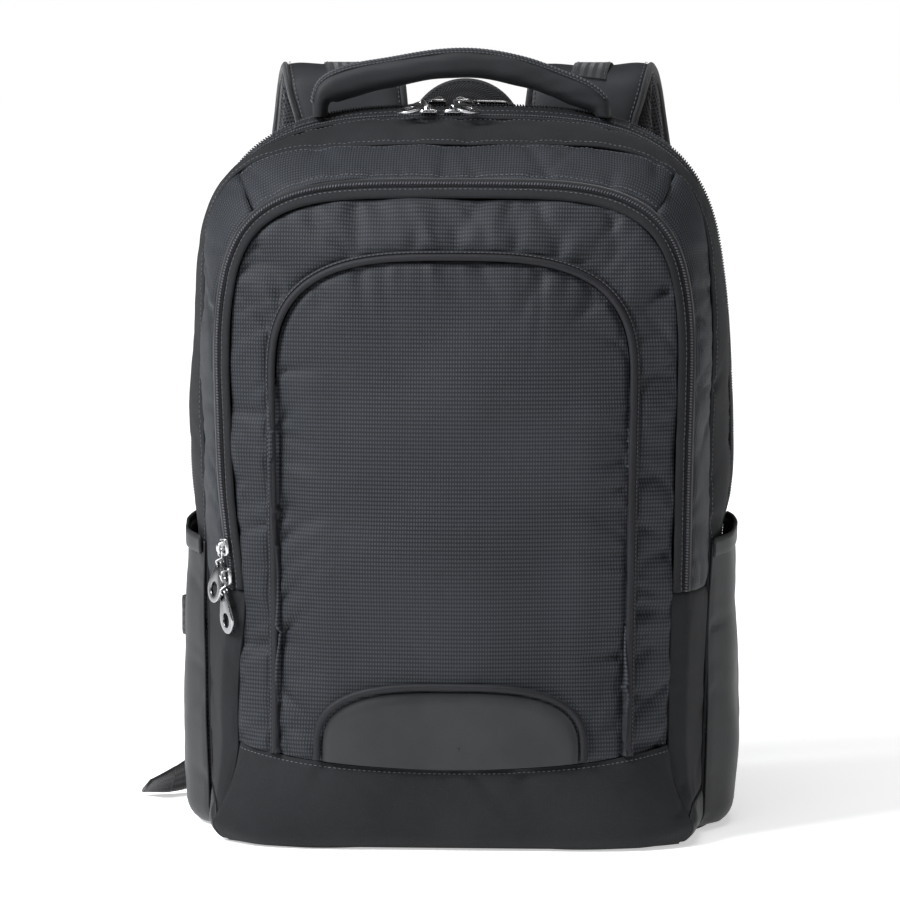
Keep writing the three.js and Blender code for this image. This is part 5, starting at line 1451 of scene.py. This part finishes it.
for label, side in SIDES:
    table = through(strap_stations(side), 6.0)
    run = unit(np.gradient(table[:, :3], axis=0))
    out = unit(np.cross(np.broadcast_to(WIDE_X, run.shape), run))
    skip = int(len(table) * TAPE_FROM / 20)
    over = table[:, :3] + out * (table[:, 4:5] + 1.05)
    tape_line = through(np.concatenate([over[skip:-1], at_lock(label, TAPE_TURN)]), 1.2)
    rings, tape_out, across = carry(tape_line, WIDE_X, flat_section(TAPE_WIDE, TAPE_THICK))
    tube(f"strap_tape_cloth_{label}", rings, STRAP_TAPE, [f"strap_tape_{label}"])
    body = slice(4, int(len(tape_line) * 0.9))
    rows = [(tape_line[body] + across[body] * u + tape_out[body] * 0.72, tape_out[body], 0.0) for u in (-9.6, 9.6)]
    lay_beads(f"strap_tape_stitch_{label}", rows, 3.0, (2.1, 0.55, 0.4), THREAD)

# %% Webbing and its free end
# out, back, up, then the direction of the width: shares of the bag's own sizes
LEFT_ANCHOR = [(0.943, -0.53, 0.266, 0, 0.1, 1), (1.04, -0.43, 0.266, 0, 0.1, 1), (1.095, -0.28, 0.267, 0, 0, 1),
               (1.06, -0.12, 0.268, 0, 0, 1), (0.94, 0.12, 0.262, 0.1, 0, 1), (0.76, 0.5, 0.235, 0.6, 0, 0.8)]
RIGHT_ANCHOR = [(0.9, -0.2, 0.266, 0, 0, 1), (0.9, -0.1, 0.267, 0, 0, 1), (0.86, 0.1, 0.26, 0.2, 0, 1),
                (0.74, 0.5, 0.235, 0.6, 0, 0.8)]
LEFT_TAIL = [(0.62, 1.16, 0.19, 1, 0, 0), (0.68, 1.1, 0.12, 0.9, 0, 0.4), (0.84, 0.72, 0.072, 0.3, 0, 0.95),
             (1.04, 0.2, 0.038, 0, -0.35, 0.93), (1.14, -0.1, 0.025, 0, -0.7, 0.7),
             (1.24, -0.3, 0.018, 0, -0.93, 0.36)]
RIGHT_TAIL = [(0.62, 1.16, 0.19, 1, 0, 0), (0.63, 1.14, 0.11, 1, 0, 0), (0.66, 1, 0.04, 1, 0, 0),
              (0.7, 0.66, 0.008, 1, 0.2, 0), (0.74, 0.2, 0.006, 1, 0.2, 0)]
THREADED = [(-3.85, 42.8), (-1.45, 31.6), (-0.85, 27.8), (0.15, 25.2), (2.5, 24.5), (4.85, 25.2), (5.85, 27.8),
            (6.15, 31.6)]
HEM_POINTS, HEM_WIDE, HEM_THICK = 16, 25.6, 2.6


def webbing_places(rows, side):
    """Places and directions of the webbing's width, in millimetres."""
    rows = np.array(rows)
    place = np.stack([side * rows[:, 0] * HALF, STRAP_ROOT + rows[:, 1] * STRAP_STAND, rows[:, 2] * HEIGHT], axis=-1)
    return np.concatenate([place, rows[:, 3:4], side * rows[:, 4:5], side * rows[:, 5:6]], axis=1)


for label, side, anchor, tail in (("left", -1, LEFT_ANCHOR, LEFT_TAIL), ("right", 1, RIGHT_ANCHOR, RIGHT_TAIL)):
    threaded = at_lock(label, THREADED)
    middle = np.concatenate([threaded, np.tile(WIDE_X, (len(threaded), 1))], axis=1)
    route = np.concatenate([webbing_places(anchor, side), middle, webbing_places(tail, side)])
    route = through(route, 1.2)
    rings = carry(route[:, :3], unit(route[:, 3:6]), flat_section(WEBBING_WIDE, WEBBING_THICK))[0]
    tube(f"webbing_{label}", rings, WEBBING, [f"strap_webbing_{label}"])
    end = route[-HEM_POINTS:]
    hem_rings = carry(end[:, :3], unit(end[:, 3:6]), flat_section(HEM_WIDE, HEM_THICK))[0]
    tube(f"webbing_hem_{label}", hem_rings, WEBBING)
print("webbing:", round(float(distances(route[:, :3])[-1])), "mm on the right")

# %% [markdown]
# ### Ladder locks
# The buckle is one moulding with three bars. Its solid in the frame already has the right shape, but moulded
# plastic never has a sharp edge, so a copy of it is merged, its flat faces joined again, and every edge rounded.

# %% Ladder locks
MERGE, LOCK_ROUND = 0.00002, 0.7


def rounded_copy(node, name, finish, width):
    """A copy of a frame's solid with its faces joined again and its edges rounded."""
    mesh = frame["nodes"][node].data.copy()
    mesh.name = name
    piece = bpy.data.objects.new(name, mesh)
    bpy.context.scene.collection.objects.link(piece)
    work = bmesh.new()
    work.from_mesh(mesh)
    bmesh.ops.remove_doubles(work, verts=work.verts, dist=MERGE)
    bmesh.ops.dissolve_limit(work, angle_limit=math.radians(2), verts=work.verts, edges=work.edges)
    work.to_mesh(mesh)
    work.free()
    mesh.materials.clear()
    mesh.materials.append(finish)
    bevel = piece.modifiers.new("rounded", "BEVEL")
    bevel.width, bevel.segments, bevel.limit_method = width / 1000, 3, "ANGLE"
    bevel.angle_limit = math.radians(35)
    return on_body(piece, node)


for label in ("left", "right"):
    rounded_copy(f"ladder_lock_{label}", f"lock_{label}", PLASTIC, LOCK_ROUND)
print("locks: 2")

# %% [markdown]
# ## Back of the bag
# The back is plain: a stiff padded panel in the arch's own shape, and on it a pad of spacer mesh with one channel
# down its middle and two pairs across, so that air can pass. Both are padded pieces, so both are crowned.

# %% Back panel
BACK_Y, BACK_LOW, BACK_RIM = 92.3, 3.0, 3.5
back = RINGS["back_seam"]
share = np.sin(np.linspace(-1, 1, 81) * math.pi / 2)
up = seam_steps(420, 4.0)
arc_rise = (1 - np.abs(share) ** back["square"]) ** (1 / back["square"])
top_z = HEIGHT * (back["spring"] + (back["height"] - back["spring"]) * arc_rise) - 0.4
panel_z = mix(BACK_LOW, top_z[None], up[:, None])
panel_x = share[None] * (back["width"] * HALF * girth(back, panel_z) - 0.6)
edge_line = np.concatenate([stack(panel_x[:, 0], 0, panel_z[:, 0]), stack(panel_x[-1], 0, panel_z[-1]),
                            stack(panel_x[::-1, -1], 0, panel_z[::-1, -1])])
flat = stack(panel_x, 0, panel_z)
from_rim, _ = near_line(flat, edge_line)
rim_drop = BACK_RIM * np.exp(-((from_rim / 9) ** 2)) + 1.2 * np.exp(-(((from_rim - 12) / 2) ** 2))
dents = 0.6 * slow_noise(flat, 60, 71)
back_grid = stack(panel_x, BACK_Y - rim_drop + dents * smooth(from_rim / 20) - 0.6, panel_z)
piece = cloth("back_panel_cloth", back_grid, OXFORD, ["back_panel"], wall=5.5, uv=back_grid[..., [0, 2]])
print("back panel grid:", back_grid.shape[:2])

# %% Back pad
PAD_HALF, PAD_LOW, PAD_HIGH, PAD_FACE, PAD_PUFF = 118.0, 40.0, 388.0, 92.7, 5.4
PAD_SQUARE, PAD_CHANNELS = 14, (0.345, 0.685)
a, b = np.meshgrid(np.linspace(-1, 1, 119), np.linspace(-1, 1, 175))
pad_x = PAD_HALF * a * np.sqrt(1 - 0.02 * np.abs(b) ** PAD_SQUARE)
pad_z = mix(PAD_LOW, PAD_HIGH, (b + 1) / 2)
pad_x = pad_x * (1 - 0.1 * np.abs(b) ** 40 * np.abs(a) ** 4)
to_edge = np.minimum(PAD_HALF - np.abs(pad_x), np.minimum(pad_z - PAD_LOW, PAD_HIGH - pad_z)).clip(0)
groove = 1 - 0.75 * np.exp(-((pad_x / 7) ** 4))
for share in PAD_CHANNELS:
    groove *= 1 - 0.75 * np.exp(-(((pad_z - mix(PAD_LOW, PAD_HIGH, share)) / 6) ** 4))
puff = PAD_PUFF * groove * (1 - np.exp(-((to_edge / 5) ** 1.3)))
pad_grid = stack(pad_x, PAD_FACE + puff + 0.5 * slow_noise(stack(pad_x, 0, pad_z), 40, 72) * groove, pad_z)
piece = cloth("back_pad_mesh", pad_grid, MESH, ["back_pad"], wall=0.6, uv=pad_grid[..., [0, 2]])
inside = slice(3, -3)
pad_face = stack(pad_x, PAD_FACE + 1.2, pad_z)
guides = []
for row in ((3, inside), (-4, inside), (inside, 3), (inside, -4)):
    line = steady(pad_face[row], 3.0)
    to_rim = np.broadcast_to(WIDE_BACK, line.shape)
    guides.append((line + to_rim * 1.4, to_rim, 0.0))
lay_beads("back_pad_stitches", guides, 3.4, (2.4, 0.6, 0.5), DARK_THREAD)
print("back pad grid:", pad_grid.shape[:2])

# %% [markdown]
# ## Zip sliders, links and pulls
# Six sliders in dark nickel. A slider is a low body with a little bridge on top. A wire link passes under the
# bridge and is turned a quarter, so that the flat pull it carries can lie down. The pull is a stamped teardrop
# with a large round hole, and a bevel all round it that catches the light.

# %% Metal shapes


def stamped(outline, holes, thick, bevel):
    """A flat stamping: an outline with holes, a thickness, and rounded edges. Millimetres, in its own plane."""
    work = bmesh.new()
    edges = []
    for ring in [outline] + holes:
        corners = [work.verts.new((x, y, 0)) for x, y in ring]
        edges += [work.edges.new((corners[i], corners[(i + 1) % len(corners)])) for i in range(len(corners))]
    bmesh.ops.triangle_fill(work, edges=edges, use_beauty=True)
    for f in work.faces:
        if f.normal.z < 0:
            f.normal_flip()
    faces = list(work.faces)
    made = bmesh.ops.extrude_face_region(work, geom=faces)
    for v in made["geom"]:
        if isinstance(v, bmesh.types.BMVert):
            v.co.z -= thick
    bmesh.ops.translate(work, verts=work.verts, vec=(0, 0, thick / 2))
    bmesh.ops.recalc_face_normals(work, faces=work.faces)
    sharp = [e for e in work.edges if e.calc_face_angle(0) > math.radians(50)]
    bmesh.ops.bevel(work, geom=sharp, offset=bevel, segments=3, profile=0.5, affect="EDGES")
    bmesh.ops.triangulate(work, faces=work.faces)
    points = np.array([v.co[:] for v in work.verts])
    faces = [[v.index for v in f.verts] for f in work.faces]
    work.free()
    return points, faces


def circle(radius, y, steps=40):
    """A ring of points round a place on the pull's middle line."""
    turn = np.linspace(0, 2 * math.pi, steps, endpoint=False)
    return [(radius * math.cos(t), y + radius * math.sin(t)) for t in turn]


def teardrop(big, far, small, near, steps=56):
    """The hull of two circles, the small one near the eye and the big one hanging below it."""
    tilt = math.asin((big - small) / (far - near))
    points = []
    ends = ((small, -near, tilt, math.pi - tilt), (big, -far, math.pi - tilt, 2 * math.pi + tilt))
    for radius, y, start, end in ends:
        for t in np.linspace(start, end, steps // 2):
            points.append((radius * math.cos(t), y + radius * math.sin(t)))
    return points


PULL_BIG, PULL_FAR, PULL_NECK, PULL_NEAR, PULL_HOLE, PULL_EYE = 8.5, 18.5, 3.3, 3.1, 4.3, 1.9
PULL_THICK, PULL_ROUND, BODY_THICK, BODY_ROUND = 2.0, 0.55, 2.4, 0.5
pull_points, pull_faces = stamped(teardrop(PULL_BIG, PULL_FAR, PULL_NECK, PULL_NEAR),
                                  [circle(PULL_HOLE, -PULL_FAR), circle(PULL_EYE, -PULL_NEAR, 20)],
                                  PULL_THICK, PULL_ROUND)
BODY = [(-5.5, -2.2), (-4.9, -3.2), (-3.2, -4), (3.6, -4), (4.8, -3.6), (5.5, -2.6),
        (5.5, 2.6), (4.8, 3.6), (3.6, 4), (-3.2, 4), (-4.9, 3.2), (-5.5, 2.2)]
body_points, body_faces = stamped(BODY, [], BODY_THICK, BODY_ROUND)
body_points = body_points + [0, 0, BODY_THICK / 2]
print("pull:", len(pull_faces), "faces, slider body:", len(body_faces), "faces")

# %% Sliders, links and pulls
SLIDERS = [
    ("main_left", "main", -0.125 * HALF, (-0.4, -0.92, 0), -0.5),
    ("main_right", "main", -0.03 * HALF, (0.4, -0.92, 0), -0.5),
    ("laptop_left", "laptop", -0.1 * HALF, (-0.75, 0.65, 0), -0.04),
    ("laptop_right", "laptop", -0.005 * HALF, (0.9, 0.45, 0), -0.04),
    ("pocket_upper", "pocket", 0.405 * HEIGHT, (-0.45, 0, -1), 0.2),
    ("pocket_lower", "pocket", 0.405 * HEIGHT - 18, (0.16, 0, -1), -0.05),
]
SEAT, BRIDGE_UP, LINK_LONG, LINK_HALF, LINK_WIRE, LINK_SEAT = 1.2, 4.2, 12.0, 3.1, 0.6, 3.95
BRIDGE = np.array([(-1.3, -0.4), (-1.1, -0.55), (1.1, -0.55), (1.3, -0.4), (1.3, 0.4), (1.1, 0.55), (-1.1, 0.55),
                   (-1.3, 0.4)])


def joined(parts):
    """Several sets of points and faces as one."""
    points, faces, start = [], [], 0
    for p, f in parts:
        points.append(p)
        faces += [[start + i for i in face] for face in f]
        start += len(p)
    return np.concatenate(points), faces


def ring_tube(line, out, section, closed=True):
    """A tube on a line, as points and faces, closed to a ring or capped."""
    if closed:
        run = unit(np.roll(line, -1, axis=0) - np.roll(line, 1, axis=0))
    else:
        run = unit(np.gradient(line, axis=0))
    out = unit(out - (out * run).sum(axis=-1, keepdims=True) * run)
    across = np.cross(out, run)
    rings = line[:, None] + across[:, None] * section[None, :, :1] + out[:, None] * section[None, :, 1:]
    count, sides = rings.shape[:2]
    faces = []
    for i in range(count if closed else count - 1):
        for k in range(sides):
            a, b = i * sides + k, i * sides + (k + 1) % sides
            c, d = (i + 1) % count * sides + (k + 1) % sides, (i + 1) % count * sides + k
            faces.append([a, b, c, d])
    if not closed:
        faces += [list(range(sides))[::-1], [(count - 1) * sides + k for k in range(sides)]]
    return rings.reshape(-1, 3), faces


def slider_frame(zip_name, place):
    """A slider's seat on its zip, the zip's direction there, and the way out."""
    middle, run, out = zip_middle[zip_name]
    if zip_name == "pocket":
        left = middle[:, 0] < 0
        index = np.argmin(np.where(left, np.abs(middle[:, 2] - place), 1e9))
    else:
        index = np.argmin(np.where(middle[:, 2] > 300, np.abs(middle[:, 0] - place), 1e9))
    return middle[index] + out[index] * SEAT, run[index], out[index]


def metal_piece(name, parts, node):
    """A piece of hardware, smooth but for its sharp edges."""
    points, faces = joined(parts)
    piece = make_piece(name, points, faces, NICKEL)
    work = bmesh.new()
    work.from_mesh(piece.data)
    bmesh.ops.recalc_face_normals(work, faces=work.faces)
    work.to_mesh(piece.data)
    work.free()
    piece.data.set_sharp_from_angle(angle=math.radians(38))
    return on_body(piece, node)


for name, zip_name, place, hang, tilt in SLIDERS:
    at, run, out = slider_frame(zip_name, place)
    side = np.cross(out, run)
    hang = np.array(hang, float)
    hang = unit(hang - out * (hang @ out))
    body = body_points @ np.stack([run, side, out]) + at
    t = np.linspace(0, 1, 17)
    bridge_line = (at + np.outer(np.cos(math.pi * (1 - t)) * 3.6, hang)
                   + np.outer(2.2 + (BRIDGE_UP - 0.55) * np.sin(math.pi * t) ** 0.55, out))
    bridge_out = np.outer(np.cos(math.pi * (1 - t)), hang) + np.outer(np.sin(math.pi * t) + 0.01, out)
    bridge = ring_tube(bridge_line, bridge_out, BRIDGE, closed=False)
    metal_piece(f"zip_slider_{name}", [(body, body_faces), bridge], f"slider_{name}")

    start = at + out * LINK_SEAT
    way = unit(hang + 0.06 * out)
    flat = unit(out - way * (out @ way))
    across = np.cross(out, hang)
    turn = np.linspace(0, 2 * math.pi, 48, endpoint=False)
    c, s = np.cos(turn), np.sin(turn)
    long = np.sign(c) * np.abs(c) ** 0.55 * (LINK_LONG / 2 - LINK_WIRE)
    wide = np.sign(s) * np.abs(s) ** 0.8 * (LINK_HALF - LINK_WIRE)
    down = long + LINK_LONG / 2 - LINK_WIRE
    twist = smooth((down / (LINK_LONG - 1.2) - 0.45) / 0.35) * math.pi / 2
    wide_way = np.outer(np.cos(twist), across) + np.outer(np.sin(twist), flat)
    face_way = np.outer(-np.sin(twist), across) + np.outer(np.cos(twist), flat)
    link_line = start + np.outer(down, way) + wide_way * wide[:, None]
    metal_piece(f"zip_link_{name}", [ring_tube(link_line, face_way, oval(LINK_WIRE, LINK_WIRE, 10))], f"link_{name}")

    eye = start + way * (LINK_LONG - 2 * LINK_WIRE)
    lie = unit(hang + tilt * out)
    face = unit(out - lie * (out @ lie))
    pull = pull_points @ np.stack([np.cross(face, lie), -lie, face]) + eye + lie * -PULL_NEAR
    metal_piece(f"zip_pull_{name}", [(pull, pull_faces)], f"pull_{name}")
print("sliders, links and pulls:", len(SLIDERS))

# %% [markdown]
# ## Stitches
# Rows of lock stitch run beside the seams, a few millimetres in. Each row follows a line of points that is
# already on the sewn cloth, so the stitches sit in it. Their thread is a shade lighter than the cloth.

# %% Stitches
STITCH = (2.2, 0.55, 0.45)
ROW_LIFT, ROW_STEP, ROW_ENDS = 0.12, 1.2, 2.0


def seam_row(grid, index):
    """A guide for stitches along one row of a sewn grid."""
    line, way = grid[index], grid_normals(grid)[index]
    along = distances(line)
    at = np.arange(ROW_ENDS, along[-1] - ROW_ENDS, ROW_STEP)
    return resample(line + way * ROW_LIFT, along, at), unit(resample(way, along, at)), 0.0


lay_beads("gusset_stitches", [seam_row(laptop_gusset, -4), seam_row(top_strip, 3), seam_row(top_strip, -4),
                              seam_row(main_gusset, 3), seam_row(main_gusset, -4)], 3.0, STITCH, THREAD)
lay_beads("front_stitches", [seam_row(facing_band, 1), seam_row(pocket_top, 3), seam_row(pocket_top, -4),
                             seam_row(boot_grid, 3)], 3.0, STITCH, THREAD)
lip_line = cord_line + frames_along(cord_line, cord_out)[2] * 2.3 + cord_out * 0.42
lay_beads("piping_stitches", [(lip_line[2:-2], cord_out[2:-2], 0.0)], 2.6, (1.7, 0.5, 0.4), THREAD)
print("stitch rows laid")

# %% Last update of the scene
bpy.context.view_layer.update()
